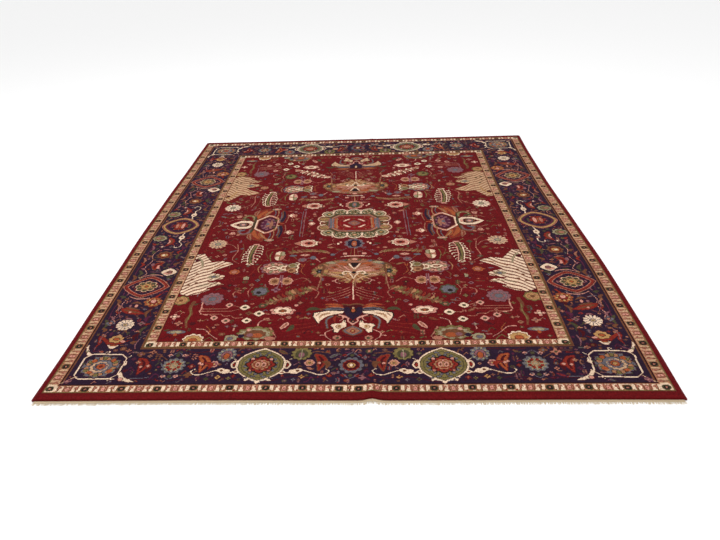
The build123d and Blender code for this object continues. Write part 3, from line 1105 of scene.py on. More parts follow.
def field_flowers(cartoon):
    """Everything in the field that is drawn four times, once in each quarter."""
    for sides in FOUR_WAYS:
        front = sides[1] < 0

        def at(a, b, reach=70, turn=0):
            return Stamp(cartoon, a, b, sides, reach, turn)

        s = at(0, 0, 40)
        s.line([(820, 60), (806, 300), (812, 620), (800, 840)], 5, "cherry")
        s.line([(640, 250), (628, 330), (640, 420), (600, 470)], 6, "rose")
        s.line([(610, 250), (596, 330), (604, 400)], 5, "walnut")
        s.line([(287, -172), (290, 0), (287, 172)], 5, "mauve")
        s.line([(303, -172), (306, 0), (303, 172)], 4, "slate")
        s.line([(430, 260), (410, 300), (470, 340), (450, 420)], 5, "walnut")
        s.line([(300, 430), (330, 380), (330, 300)], 6, "walnut")
        s.line([(700, 240), (664, 262), (640, 300)], 7, "rose")
        s.line([(560, 620), (520, 590), (500, 530)], 6, "brick")
        s.line([(640, 640), (580, 610), (540, 600)], 6, "brick")
        s.line([(240, 600), (262, 560), (252, 480)], 9, "orange", 5)
        s.line([(150, 1010), (210, 1030), (300, 1040)], 5, "brick")
        s.line([(150, 1040), (220, 1060), (290, 1080)], 6, "brick")
        s.line([(170, 1080), (240, 1100), (300, 1130)], 6, "brick")
        s.line([(690, 1062), (652, 1068), (620, 1106), (584, 1138)], 9, "blush" if front else "orange", 6)
        s.line([(650, 1040), (626, 1080), (640, 1110)], 10, "orange", 5)
        s.line([(420, 1050), (412, 1012), (376, 990)], 7, "blush", 10)
        s.line([(360, 1062), (345, 1100), (330, 1130)], 14, "rose", 9)
        s.line([(520, 1036), (524, 1080)], 6, "blush")
        s.leaf([(284, 1016), (300, 1044), (322, 1076)], 30, "blush", "rose", 0)
        s.leaf([(262, 1036), (272, 1066), (290, 1090)], 24, "moss")

        field_spandrel(at(752, 580, 260), front)
        rosette(at(812, 822, 60), 42, "olive", "gold", "tan", "walnut", 8)
        rosette(at(752, 243), 50, "blush", "mauve", "ivory", "slate", 12)
        daisy(at(752, 243), 50, "straw" if front else "ivory", "slate", "sage", 12)
        rosette(at(664, 815), 52, "mauve", "slate", "mauve", "slate", 10, "wine")
        s = at(740, 950, 130)
        s.line([(6, -110), (14, -60), (0, -10), (12, 40), (0, 100)], 18, "walnut", 10)
        s.line([(8, -60), (4, 0), (8, 60)], 6, "olive")
        bud(s, 72, 10, 26, "blush", "ivory")
        bud(s, 42, 66, 22, "rose", "slate")
        s = at(776, 1084, 60)
        s.oval(0, 0, 46, 17, "slate")
        s.oval(0, 0, 26, 9, "sage")
        s.disc(0, 22, 12, "orange")
        s = at(688, 1138, 60)
        s.scallop(0, 0, 46, 40, 9, "ivory", 0.12)
        s.scallop(0, 4, 38, 32, 9, "gold", 0.1)
        s.oval(0, 8, 20, 18, "orange" if front else "tan")
        s.line([(-50, 10), (-70, -10), (-96, 20)], 8, "olive")
        bud(s, 78, 6, 14, "mauve")
        bud(at(688, 996, 40), 0, 0, 14, "tan", "rose")

        s = at(425, 1102, 110)
        s.scallop(0, 0, 80, 52, 11, "olive", 0.12)
        s.scallop(0, 4, 68, 42, 11, "sage" if front else "slate", 0.12)
        s.scallop(0, 8, 50, 32, 9, "walnut", 0.1)
        s.oval(-12, 18, 24, 16, "orange")
        s.oval(20, 14, 16, 12, "mauve")
        s.disc(30, -26, 10, "blush")
        s.scallop(102, 34, 32, 28, 7, "sage", 0.12)
        s.oval(104, 36, 16, 14, "slate")
        s.scallop(-70, 40, 26, 16, 7, "rose", 0.12)
        s.disc(58, 20, 14, "indigo")
        bud(at(522, 1044, 40), 0, 0, 17, "mauve", "sage")

        s = at(318, 926, 80)
        s.scallop(0, 0, 60, 38, 7, "wine", 0.16, 90)
        s.scallop(0, 0, 55, 33, 7, "blush", 0.16, 90)
        s.scallop(0, -2, 40, 24, 7, "ivory", 0.16, 90)
        s.oval(0, 0, 20, 13, "walnut")
        s.disc(0, 2, 6, "orange")
        s.disc(-58, -48, 12, "blush")
        flowering_twigs(at(592, 906, 200), front)
        s = at(556, 770, 60)
        s.line([(-14, -30), (10, -20), (16, 8), (0, 30)], 7, "rose")
        bud(s, 0, 28, 13, "mauve")
        bud(s, -30, -50, 14, "tan", "moss")

        s = at(446, 752, 60)
        s.scallop(0, 0, 42, 44, 8, "moss", 0.12)
        s.scallop(0, 0, 32, 34, 8, "slate" if front else "olive", 0.12)
        s.disc(6, 10, 12, "soot")
        s.line([(44, -44), (58, 0), (46, 50)], 5, "rose")
        s.line([(-30, 40), (-60, 20), (-100, 0)], 5, "brick")
        bud(at(372, 738, 50), 0, 0, 26, "mauve", "plum")
        serrated_branch(at(296, 796, 180), front)
        twin_flower(at(356, 658, 170))
        lying_palmette(at(392, 524, 170), front)
        s = at(392, 392, 80)
        s.oval(0, 0, 30, 54, "rose" if front else "blush")
        s.oval(8, -30, 20, 18, "ivory")
        s.oval(-14, -24, 14, 26, "sage")
        s.oval(10, 28, 15, 20, "ivory")
        s.line([(-4, -40), (0, 40)], 7, "olive")
        s.line([(44, -50), (52, 0), (40, 60)], 6, "olive")
        s.oval(-70, 0, 24, 12, "slate")
        comb_leaf(at(540, 366, 150))
        s = at(246, 250, 70)
        s.scallop(0, 0, 50, 44, 9, "ivory", 0.14)
        s.scallop(2, 0, 40, 34, 9, "blush", 0.12)
        s.oval(0, 0, 24, 18, "brick")
        s.disc(0, 0, 8, "soot")
        s.shape([(46, -30), (90, 0), (46, 30)], "rose")
        s.oval(-60, -6, 11, 16, "rose")
        garland(at(240, 345, 130), front)
        s = at(366, 112, 50)
        s.lozenge(0, 0, 32, 34, "blush", 0.9)
        s.lozenge(8, 0, 10, 22, "ivory")
        s.oval(-22, 0, 10, 18, "rose")
        s.oval(14, 70, 24, 10, "rose")
        at(234, 128, 30).oval(0, 0, 13, 15, "rose")
        s = at(604, 560, 60)
        s.scallop(0, 0, 30, 28, 8, "orange" if front else "tan", 0.12)
        s.disc(0, 0, 14, "rose")
        s.disc(6, 112, 24, "rose")
        s.disc(6, 112, 13, "moss")
        s.disc(-72, 66, 20, "sage")
        s.oval(-70, 140, 10, 20, "blush")
        s = at(270, 440, 60)
        s.scallop(0, 0, 26, 24, 7, "mauve", 0.12)
        s.disc(0, 0, 10, "slate")
        s.line([(-40, -20), (-56, -14), (-84, 10)], 9, "blush", 5)
        s = at(524, 480, 60)
        s.line([(50, -30), (14, -4), (-20, 40)], 5, "brick")
        s.disc(12, 90, 15, "rose")
        s = at(700, 120, 60)
        s.oval(-10, 0, 22, 14, "rose")
        s.oval(-10, 0, 10, 7, "wine")
        s.disc(84, -20, 13, "mauve")
        s.disc(104, 44, 12, "rose")
    for side in (-1, 1):
        side_palmette(Stamp(cartoon, 500, 0, (side, 1), 260))
        s = Stamp(cartoon, 246, 0, (side, 1), 60)
        s.lozenge(0, 0, 24, 28, "blush", 1.2)
        s.lozenge(0, 0, 12, 14, "ivory")
        s.disc(92, 0, 14, "mauve")


def field(cartoon):
    """The madder ground and all its flowers."""
    field_flowers(cartoon)
    for end in (-1, 1):
        front = end < 0
        pendant(Stamp(cartoon, 0, 256, (1, end), 170), front)
        chevron_stem(Stamp(cartoon, 0, 702, (1, end), 40), 130)
        end_palmette(Stamp(cartoon, 0, 986, (1, end), 200), front)
        great_palmette(Stamp(cartoon, 0, 540, (1, end), 260), front)
    central_medallion(cartoon)


# Over the whole rug --------------------------------------------------------------------------------


def scatter_sprigs(cartoon, inside, ground, yarns, spacing, size, chance):
    """Small buds, leaves and hooks wherever the ground inside an area is still bare."""
    colour = YARN_NAMES.index(ground)
    for y in np.arange(cartoon.y[0], cartoon.y[-1], spacing):
        for x in np.arange(cartoon.x[0], cartoon.x[-1], spacing):
            a, b = (x, y) + chance.uniform(-0.4, 0.4, 2) * spacing
            kind, first, second = chance.integers(5), *chance.choice(yarns, 2)
            lean = chance.uniform(-1, 1)
            rows, columns = cartoon.window(a, b, size)
            seen = cartoon.yarn[rows, columns]
            if not inside(a, b, size) or seen.size == 0 or np.mean(seen == colour) < 0.86:
                continue
            s = Stamp(cartoon, a, b, (1, 1), size * 2)
            r = size * 0.62
            if kind == 0:
                bud(s, 0, 0, r, first, second)
            elif kind == 1:
                s.leaf([(-r * 1.2, -r * lean), (0, 0), (r * 1.2, r * lean)], r * 1.1, first, second)
                s.line([(r, r * lean), (r * 1.6, r * lean * 0.2)], 4.2, second)
            elif kind == 2:
                s.line([(-r, -r), (-r * 0.3, r * lean), (r * 0.5, r * 0.6), (r, -r * 0.2)], 5, first)
                s.disc(r, -r * 0.2, r * 0.32, second)
            elif kind == 3:
                s.line([(0, -r * 1.3), (r * lean * 0.6, 0), (0, r * 1.3)], 4.2, second)
                for v in (-0.7, 0.1, 0.8):
                    s.oval(r * 0.45, v * r, r * 0.36, r * 0.24, first)
                    s.oval(-r * 0.45, v * r, r * 0.36, r * 0.24, first)
            else:
                s.scallop(0, 0, r * 0.9, r * 0.75, 6, first, 0.15)
                s.disc(0, 0, r * 0.4, second)


def edge_shapes(cartoon, where, ground, line, line_inside):
    """Shapes three knots thick or more get dark outlines, on the ground and between their colours."""
    yarn = cartoon.yarn
    dark_yarns = (ground, "soot", "indigo", "wine", "walnut", "moss", "plum")
    dark = [YARN_NAMES.index(name) for name in dark_yarns]
    bright = ~np.isin(yarn, dark) & where
    bare = yarn == YARN_NAMES.index(ground)
    to_ground = np.zeros(yarn.shape, bool)
    between = np.zeros(yarn.shape, bool)
    for axis in (0, 1):
        for step in (-1, 1):
            behind, behind_it = (np.roll(yarn, -k * step, axis) for k in (1, 2))
            beyond, second, third = (np.roll(yarn, k * step, axis) for k in (1, 2, 3))
            thick = (yarn == behind) & (yarn == behind_it)
            thick_beyond = (beyond == second) & (beyond == third)
            to_ground |= thick & bright & np.roll(bare, step, axis)
            between |= bright & np.roll(bright, step, axis) & (yarn > beyond) & thick & thick_beyond
    yarn[to_ground] = YARN_NAMES.index(line)
    yarn[between] = YARN_NAMES.index(line_inside)


def within(cartoon, half_x, half_y):
    """The knots inside a rectangle about the rug's middle."""
    return (np.abs(cartoon.y)[:, None] < half_y) & (np.abs(cartoon.x)[None, :] < half_x)


def draw_rug(cartoon):
    """The whole drawing, from the edge of the rug inwards."""
    chance = np.random.default_rng(5)
    half_x, half_y = HALF_WIDTH, HALF_LENGTH
    cartoon.band(-half_x, -half_y, half_x, half_y, "madder")
    half_x, half_y = half_x - EDGE_BAND[0], half_y - EDGE_BAND[1]
    guard_stripe(cartoon, half_x, half_y, *OUTER_GUARD, first_x=37.5, repeats_y=10.5)

    half_x, half_y = half_x - OUTER_GUARD[0], half_y - OUTER_GUARD[1]
    cartoon.band(-half_x, -half_y, half_x, half_y, "walnut")
    cartoon.band(-half_x + 10, -half_y + 4, half_x - 10, half_y - 4, "indigo")
    middle_x, middle_y = half_x - MAIN_BORDER[0] / 2, half_y - MAIN_BORDER[1] / 2
    side_border(cartoon, middle_x)
    end_border(cartoon, middle_y)
    corner_flower(cartoon, middle_x + 7, middle_y)
    inner_x, inner_y = half_x - MAIN_BORDER[0], half_y - MAIN_BORDER[1]

    def on_border(a, b, size):
        clear_outside = abs(a) < half_x - size and abs(b) < half_y - size
        return clear_outside and (abs(a) > inner_x + size or abs(b) > inner_y + size)

    for spacing, size in ((60, 38), (42, 28), (30, 18), (22, 12)):
        scatter_sprigs(cartoon, on_border, "indigo", BORDER_SPRIGS, spacing, size, chance)
    edge_shapes(cartoon, within(cartoon, half_x, half_y), "indigo", "wine", "soot")
    outline_all_round(cartoon, half_x, half_y, KNOT_WIDTH, "soot")

    half_x, half_y = inner_x, inner_y
    outline_all_round(cartoon, half_x + 8, half_y + 8, 8, "walnut")
    guard_stripe(cartoon, half_x, half_y, *INNER_GUARD, first_x=0, repeats_y=9)
    half_x, half_y = half_x - INNER_GUARD[0], half_y - INNER_GUARD[1]
    cartoon.band(-half_x, -half_y, half_x, half_y, "madder")
    around = cartoon.yarn.copy()
    field(cartoon)

    def on_field(a, b, size):
        return abs(a) < half_x - size and abs(b) < half_y - size

    for spacing, size in ((60, 26), (44, 17)):
        scatter_sprigs(cartoon, on_field, "madder", FIELD_SPRIGS, spacing, size, chance)
    inside = within(cartoon, half_x, half_y)
    edge_shapes(cartoon, inside, "madder", "wine", "walnut")
    cartoon.yarn = np.where(inside, cartoon.yarn, around)


# ---------------------------------------------------------------------------------------------------
# The rug's sizes, from the frame
# ---------------------------------------------------------------------------------------------------

MM = 0.001
LEFT, RIGHT = "left_part", "right_part"
ground_low, ground_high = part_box("ground_weave_left")
CREASE_X = ground_high.x
HALF_X = -ground_low.x
HALF_Y = ground_high.y
GROUND_TOP = ground_high.z
PILE_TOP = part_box("field_left")[1].z
KNOT = KNOT_WIDTH * MM
BEND_END = CREASE_X + 66 * MM

COLUMNS = round(2 * HALF_X / KNOT)
ROWS = round(2 * HALF_Y / KNOT)
X_LINES = np.linspace(-HALF_X, HALF_X, COLUMNS + 1)
Y_LINES = np.linspace(-HALF_Y, HALF_Y, ROWS + 1)


# ---------------------------------------------------------------------------------------------------
# How the rug lies
# ---------------------------------------------------------------------------------------------------


LEFT_BOW = 17 * MM  # how far the left side bulges outwards at its middle
RIGHT_BOW = 11 * MM  # how far the right side swings out in its front half, and in at its back half
NOTCH_DEPTH, NOTCH_HALF_WIDTH, NOTCH_REACH = 8 * MM, 0.03, 0.1
RIDGE_HEIGHT, RIDGE_HALF_WIDTH = 3.2 * MM, 0.02
RIPPLE = 0.4 * MM  # how high the rest of the rug lifts off the floor


def settle(x, y):
    """How far a point of the flat rug moves across and along the floor, and how far it rises."""
    left_bow = -LEFT_BOW * np.cos(np.pi / 2 * np.clip((y - 0.05) / 1.5, -1, 1)) ** 2
    right_bow = -RIGHT_BOW * np.sin(np.pi * (y - 0.1) / 1.45) * np.clip((1.62 - np.abs(y)) * 8, 0, 1)
    share = (x + HALF_X) / (2 * HALF_X)
    across = left_bow * (1 - share) + right_bow * share + 0.8 * MM * np.sin(y * 9)

    along = 1.2 * MM * np.sin(x * 4.2 + 1) * y / HALF_Y
    notch = np.exp(-(((x - CREASE_X) / NOTCH_HALF_WIDTH) ** 2))
    along = along + NOTCH_DEPTH * notch * np.exp(-np.clip(y + HALF_Y, 0, None) / NOTCH_REACH)

    rise = RIPPLE * (2 + np.sin(x * 5.3 + y * 1.7) + np.sin(y * 4.1 - x * 2.2))
    ridge = np.exp(-(((x - CREASE_X) / RIDGE_HALF_WIDTH) ** 2))
    rise = rise + RIDGE_HEIGHT * ridge * (0.7 + 0.3 * np.sin(y * 3.1 + 0.5))
    return across, along, rise


def lay(x, y, height):
    """Places of the flat rug, at a height above its underside, as they lie on the floor."""
    across, along, rise = settle(x, y)
    return np.stack([x + across, y + along, height + rise], -1)


def near(lines, value):
    """The number of the line nearest to a value."""
    return int(np.abs(lines - value).argmin())


# ---------------------------------------------------------------------------------------------------
# Colours of the knots
# ---------------------------------------------------------------------------------------------------


def linear(colour):
    """A daylight colour, out of 255, as the light that it reflects."""
    c = np.asarray(colour, float) / 255
    return np.where(c <= 0.04045, c / 12.92, ((c + 0.055) / 1.055) ** 2.4)


def dye_knots(yarn, chance):
    """A colour for every knot: its yarn, darker or lighter as hand-spun wool takes the dye."""
    colours = linear(list(YARNS.values()))[yarn]
    skein = 1 + 0.17 * chance.standard_normal(yarn.shape)
    row = 1 + 0.05 * chance.standard_normal((len(yarn), 1))
    return colours * np.clip(skein * row, 0.6, 1.5)[..., None]


# ---------------------------------------------------------------------------------------------------
# Meshes
# ---------------------------------------------------------------------------------------------------


def coarse_lines(lines, stride, bend):
    """Every so many lines, and more of them where the rug bends."""
    picked = np.arange(0, len(lines) - 1, stride)
    if bend:
        close = np.flatnonzero((lines > CREASE_X - 0.01) & (lines < BEND_END + 0.01))[::2]
        picked = np.append(picked, close)
    return np.unique(np.append(picked, len(lines) - 1))


def wall_faces(fine, coarse, xi, yi):
    """The four walls of a slab, each face as long as one large face of the coarse side."""
    walls = []
    for a, b in zip(range(len(xi) - 1), range(1, len(xi))):
        walls.append([coarse[0, a], coarse[0, b], *fine[0, xi[a] : xi[b] + 1][::-1]])
        walls.append([coarse[-1, b], coarse[-1, a], *fine[-1, xi[a] : xi[b] + 1]])
    for a, b in zip(range(len(yi) - 1), range(1, len(yi))):
        walls.append([coarse[a, -1], coarse[b, -1], *fine[yi[a] : yi[b] + 1, -1][::-1]])
        walls.append([coarse[b, 0], coarse[a, 0], *fine[yi[a] : yi[b] + 1, 0]])
    return walls


def slab(name, x, y, fine_height, coarse_height, stride, colours, plain, material, slot):
    """A closed piece of the rug between the lines x and y.

    One side has a face for every pair of lines, each with its own colour, and the other side has
    larger faces. They are at the two heights above the rug's underside, and walls join them.
    """
    xi = coarse_lines(x, stride, True)
    yi = coarse_lines(y, stride, False)
    fine_x, fine_y = np.meshgrid(x, y)
    coarse_x, coarse_y = np.meshgrid(x[xi], y[yi])
    fine = np.arange(fine_x.size).reshape(fine_x.shape)
    coarse = fine.size + np.arange(coarse_x.size).reshape(coarse_x.shape)
    fine_faces = np.stack([fine[:-1, :-1], fine[:-1, 1:], fine[1:, 1:], fine[1:, :-1]], -1)
    coarse_faces = np.stack([coarse[:-1, :-1], coarse[1:, :-1], coarse[1:, 1:], coarse[:-1, 1:]], -1)
    walls = wall_faces(fine, coarse, xi, yi)
    if np.min(fine_height) < coarse_height:
        fine_faces, coarse_faces = fine_faces[..., ::-1], coarse_faces[..., ::-1]
        walls = [wall[::-1] for wall in walls]

    corners = np.concatenate([fine_faces.ravel(), coarse_faces.ravel(), *walls])
    quads = fine_faces.size // 4 + coarse_faces.size // 4
    sizes = np.append(np.full(quads, 4), [len(wall) for wall in walls])
    starts = np.append(0, np.cumsum(sizes)[:-1])
    flat = np.stack([np.append(fine_x, coarse_x), np.append(fine_y, coarse_y)], -1)
    height = np.append(np.broadcast_to(fine_height, fine_x.shape), np.full(coarse.size, coarse_height))

    mesh = bpy.data.meshes.new(name)
    mesh.vertices.add(len(flat))
    mesh.vertices.foreach_set("co", lay(flat[:, 0], flat[:, 1], height).ravel())
    mesh.loops.add(len(corners))
    mesh.loops.foreach_set("vertex_index", corners.astype(np.int32))
    mesh.polygons.add(len(starts))
    mesh.polygons.foreach_set("loop_start", starts.astype(np.int32))
    mesh.update(calc_edges=True)
    mesh.polygons.foreach_set("use_smooth", np.arange(len(starts)) < quads)
    mesh.uv_layers.new(name="weave").uv.foreach_set("vector", flat[corners].ravel())
    paint = np.ones((len(starts), 4))
    paint[:, :3] = plain
    paint[: colours.shape[0] * colours.shape[1], :3] = colours.reshape(-1, 3)
    mesh.attributes.new("yarn", "FLOAT_COLOR", "FACE").data.foreach_set("color", paint.ravel())
    mesh.materials.append(material)
    return place(name, mesh, slot)


def place(name, mesh, slot):
    """A finished mesh as a piece of the scene. Its slot is not used."""
    piece = bpy.data.objects.new(name, mesh)
    bpy.context.scene.collection.objects.link(piece)
    return piece


def join_to_body(piece, *nodes):
    """The piece stands for its CAD nodes and rides on their part, or is left on no part if it meets the
    crease.
    """
    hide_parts(*nodes)
    if "left" in nodes[0].split("_"):
        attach(piece, LEFT)
        return
    inner = min(vertex.co.x for vertex in piece.data.vertices)
    if inner > BEND_END:
        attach(piece, RIGHT)
        return
    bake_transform(piece)


# ---------------------------------------------------------------------------------------------------
# Node trees
# ---------------------------------------------------------------------------------------------------


class Value:
    """A node's output, on which Python arithmetic adds Math nodes."""

    def __init__(self, tree, socket):
        self.tree = tree
        self.socket = socket

    def math(self, operation, first, second=0.0):
        return self.tree.node("ShaderNodeMath", {"operation": operation}, {0: first, 1: second})(0)

    def __add__(self, other):
        return self.math("ADD", self, other)

    def __sub__(self, other):
        return self.math("SUBTRACT", self, other)

    def __mul__(self, other):
        return self.math("MULTIPLY", self, other)

    def __rsub__(self, other):
        return self.math("SUBTRACT", other, self)

    def __abs__(self):
        return self.math("ABSOLUTE", self)

    def wave(self):
        return self.math("SINE", self)

    __radd__ = __add__
    __rmul__ = __mul__


class NodeTree:
    """A shader or geometry node tree. Its node method adds any node."""

    def __init__(self, tree):
        self.tree = tree
        tree.nodes.clear()

    def node(self, kind, settings=None, sockets=None):
        """Adds a node, sets it up, then fills its sockets, and gives back what reads its outputs."""
        made = self.tree.nodes.new(kind)
        for name, value in (settings or {}).items():
            setattr(made, name, value)
        for name, value in (sockets or {}).items():
            for one in value if isinstance(value, list) else [value]:
                if isinstance(one, Value):
                    self.tree.links.new(one.socket, made.inputs[name])
                else:
                    made.inputs[name].default_value = one
        return lambda output: Value(self, made.outputs[output])


class Finish(NodeTree):
    """A material of wool or cotton."""

    def __init__(self, name):
        self.material = bpy.data.materials.new(name)
        self.material.use_nodes = True
        super().__init__(self.material.node_tree)

    def weave_place(self, across=1.0, along=1.0):
        """The place on the flat rug, stretched."""
        flat = self.node("ShaderNodeUVMap", {"uv_map": "weave"})("UV")
        return self.node("ShaderNodeMapping", {}, {"Vector": flat, "Scale": (across, along, 1)})("Vector")

    def body_place(self, scale=(1.0, 1.0, 1.0)):
        """The place in the rug's own space, for pieces that are made of yarn laid in the round."""
        place = self.node("ShaderNodeTexCoord")("Object")
        return self.node("ShaderNodeMapping", {}, {"Vector": place, "Scale": scale})("Vector")

    def noise(self, place, scale, detail=2.0, roughness=0.5):
        sockets = {"Vector": place, "Scale": scale, "Detail": detail, "Roughness": roughness}
        return self.node("ShaderNodeTexNoise", {}, sockets)("Fac")

    def shade(self, colour, amount):
        """A colour made darker or lighter by an amount."""
        sockets = {0: colour, "Scale": amount}
        return self.node("ShaderNodeVectorMath", {"operation": "SCALE"}, sockets)("Vector")

    def blend(self, colour, other, amount):
        sockets = {"Factor": amount, 6: colour, 7: other}
        return self.node("ShaderNodeMix", {"data_type": "RGBA"}, sockets)(2)

    def finish(self, colour, roughness, height, depth, sheen, sheen_colour):
        """Wool or cotton of a colour, with fibres as deep as depth where height is 1."""
        bump = {"Height": height, "Distance": depth, "Strength": 1.0}
        fibres = self.node("ShaderNodeBump", {}, bump)("Normal")
        sockets = {
            "Base Color": colour,
            "Roughness": roughness,
            "Normal": fibres,
            "Specular IOR Level": 0.02,
            "Sheen Weight": sheen,
            "Sheen Roughness": 0.5,
            "Sheen Tint": sheen_colour,
        }
        cloth = self.node("ShaderNodeBsdfPrincipled", {}, sockets)("BSDF")
        self.node("ShaderNodeOutputMaterial", {}, {"Surface": cloth})
        return self.material


def pile_wool():
    """Cut pile: soft tufts, painted lighter at their middles and darker in the gaps between them as
    painted shade, dye that drifts in rows across the rug, and a faint sheen.
    """
    f = Finish("pile_wool")
    flat = f.weave_place()
    yarn = f.node("ShaderNodeAttribute", {"attribute_name": "yarn"})("Color")
    tuft_cells = {"Vector": flat, "Scale": 1 / KNOT, "Randomness": 0.7}
    # Painted shade: each tuft is painted lighter at its middle and darker towards the gaps between tufts;
    # the same field also raises the bump.
    tuft = 1 - f.node("ShaderNodeTexVoronoi", {}, tuft_cells)("Distance")
    fibre = f.noise(flat, 1400, 3, 0.6)
    drift = f.noise(f.weave_place(0.5, 5), 2.2, 3)
    trodden = f.noise(flat, 3.5, 2)
    clumps = f.noise(flat, 55, 2, 0.6)
    # The tuft term is painted shade; the other terms are the wool's own uneven tone.
    light = 0.20 + tuft * 0.20 + fibre * 0.22 + drift * 0.20 + trodden * 0.16 + clumps * 0.24
    colour = f.shade(yarn, light)
    roughness = 0.82 + trodden * 0.2
    return f.finish(colour, roughness, tuft * 0.6 + fibre * 0.5, 1.2 * MM, 0.02, (1, 0.75, 0.7, 1))


def woven_back():
    """The underside: the pile's knots seen from behind, in rows, on pale cotton, with painted shade in
    the grooves between warp threads.
    """
    f = Finish("woven_back")
    flat = f.weave_place()
    yarn = f.node("ShaderNodeAttribute", {"attribute_name": "yarn"})("Color")
    parts = f.node("ShaderNodeSeparateXYZ", {}, {"Vector": flat})
    row = abs((parts("Y") * (np.pi / KNOT)).wave())
    warp = abs((parts("X") * (np.pi / KNOT)).wave())
    fibre = f.noise(flat, 900, 2, 0.6)
    cotton = (*linear(GROUND_COTTON), 1)
    seen = f.blend(yarn, cotton, 0.5 - row * 0.35)
    # Painted shade: each warp thread is painted lighter along its middle and darker in the grooves
    # between threads; the same wave also raises the bump.
    colour = f.shade(seen, 0.7 + fibre * 0.3 + warp * 0.15)
    height = row * 0.6 + warp * 0.3 + fibre * 0.3
    return f.finish(colour, 0.85 + fibre * 0.1, height, 0.8 * MM, 0.1, (1, 1, 1, 1))


def spun_yarn(name, colour, strand, sheen):
    """Spun yarn that is wrapped, woven or left as fringe: fine strands, uneven colour, some soiling."""
    f = Finish(name)
    strands = f.noise(f.body_place((1, 1, 0.6)), 1 / strand, 3, 0.6)
    patches = f.noise(f.body_place(), 14, 3)
    base = (*linear(colour), 1)
    worn = (*(linear(colour) * 0.62), 1)
    shade = f.shade(f.blend(base, worn, patches * 0.6), 0.68 + strands * 0.6)
    return f.finish(shade, 0.8 + patches * 0.15, strands, 0.5 * MM, sheen, (1, 0.95, 0.9, 1))


# ---------------------------------------------------------------------------------------------------
# Pieces
# ---------------------------------------------------------------------------------------------------


def pile_piece(name, node, x_range, y_range, knots, chance, material, slot):
    """The cut pile over some of a CAD node, with a face for every knot."""
    x = X_LINES[slice(near(X_LINES, x_range[0]), near(X_LINES, x_range[1]) + 1)]
    y = Y_LINES[slice(near(Y_LINES, y_range[0]), near(Y_LINES, y_range[1]) + 1)]
    columns = slice(near(X_LINES, x[0]), near(X_LINES, x[-1]))
    rows = slice(near(Y_LINES, y[0]), near(Y_LINES, y[-1]))
    clipped = PILE_TOP + 0.25 * MM * chance.standard_normal((len(y), len(x)))
    colours, plain = knots[rows, columns], linear(YARNS["madder"])
    piece = slab(name, x, y, clipped, GROUND_TOP, 6, colours, plain, material, slot)
    join_to_body(piece, node)
    return piece


def pile_pieces(knots, chance, material):
    """One piece for every band of the design, and the field in strips along the rug."""
    pieces = []
    slots = {"field": "field_wool", "corner": "border_wool", "main": "border_wool", "edge": "edge_wool"}
    strips = {"field_left": 3, "field_right": 2}
    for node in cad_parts:
        band = node.split("_")[0]
        if band not in (*slots, "outer", "inner"):
            continue
        low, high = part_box(node)
        count = strips.get(node, 1)
        cuts = np.linspace(low.x, high.x, count + 1)
        for k in range(count):
            name = f"{node}_pile" if count == 1 else f"{node}_pile_{k + 1}"
            slot = slots.get(band, "guard_wool")
            across, along = (cuts[k], cuts[k + 1]), (low.y, high.y)
            pieces.append(pile_piece(name, node, across, along, knots, chance, material, slot))
    return pieces


def ground_weave(side, knots, material):
    """The cotton ground under one part, its underside showing the back of every other knot."""
    node = f"ground_weave_{side}"
    low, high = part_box(node)
    columns = np.arange(near(X_LINES, low.x), near(X_LINES, high.x) + 1, 2)
    columns = np.unique(np.append(columns, near(X_LINES, high.x)))
    rows = np.unique(np.append(np.arange(0, ROWS + 1, 2), ROWS))
    colours = knots[rows[:-1]][:, columns[:-1]]
    x, y = X_LINES[columns], Y_LINES[rows]
    name, plain = f"{node}_back", linear(GROUND_COTTON)
    piece = slab(name, x, y, 0.0, GROUND_TOP, 5, colours, plain, material, "ground_cotton")
    join_to_body(piece, node)
    return piece


WEAVE_SHARE = 0.6  # how much of its CAD node's depth is woven: the fringe shows over the rest
WEFT_LINES = 15
FRINGE_ROOT = 6.5 * MM  # how far the fringe starts inside its CAD node, in the last wefts


def end_weave(end, side, material):
    """The plain-woven band past the last knots, with its rows of weft."""
    node = f"end_weave_{end}_{side}"
    low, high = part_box(node)
    x = X_LINES[slice(near(X_LINES, low.x), near(X_LINES, high.x) + 1)]
    depth = WEAVE_SHARE * (high.y - low.y)
    near_y, far_y = (low.y, low.y + depth) if end == "back" else (high.y - depth, high.y)
    y = np.linspace(near_y, far_y, WEFT_LINES)
    wefts = np.where(np.arange(len(y)) % 2, 0.55 * MM, 0)[:, None]
    heights = high.z - 0.4 * MM + wefts + 0.12 * MM * np.sin(np.arange(len(x)) * np.pi / 2)[None, :]
    colours = np.ones((len(y) - 1, len(x) - 1, 3))
    piece = slab(f"{node}_cotton", x, y, heights, 0.0, 6, colours, 1.0, material, "end_weave_cotton")
    join_to_body(piece, node)
    return piece


# Wraps and fringe, which Geometry Nodes repeat ------------------------------------------------------


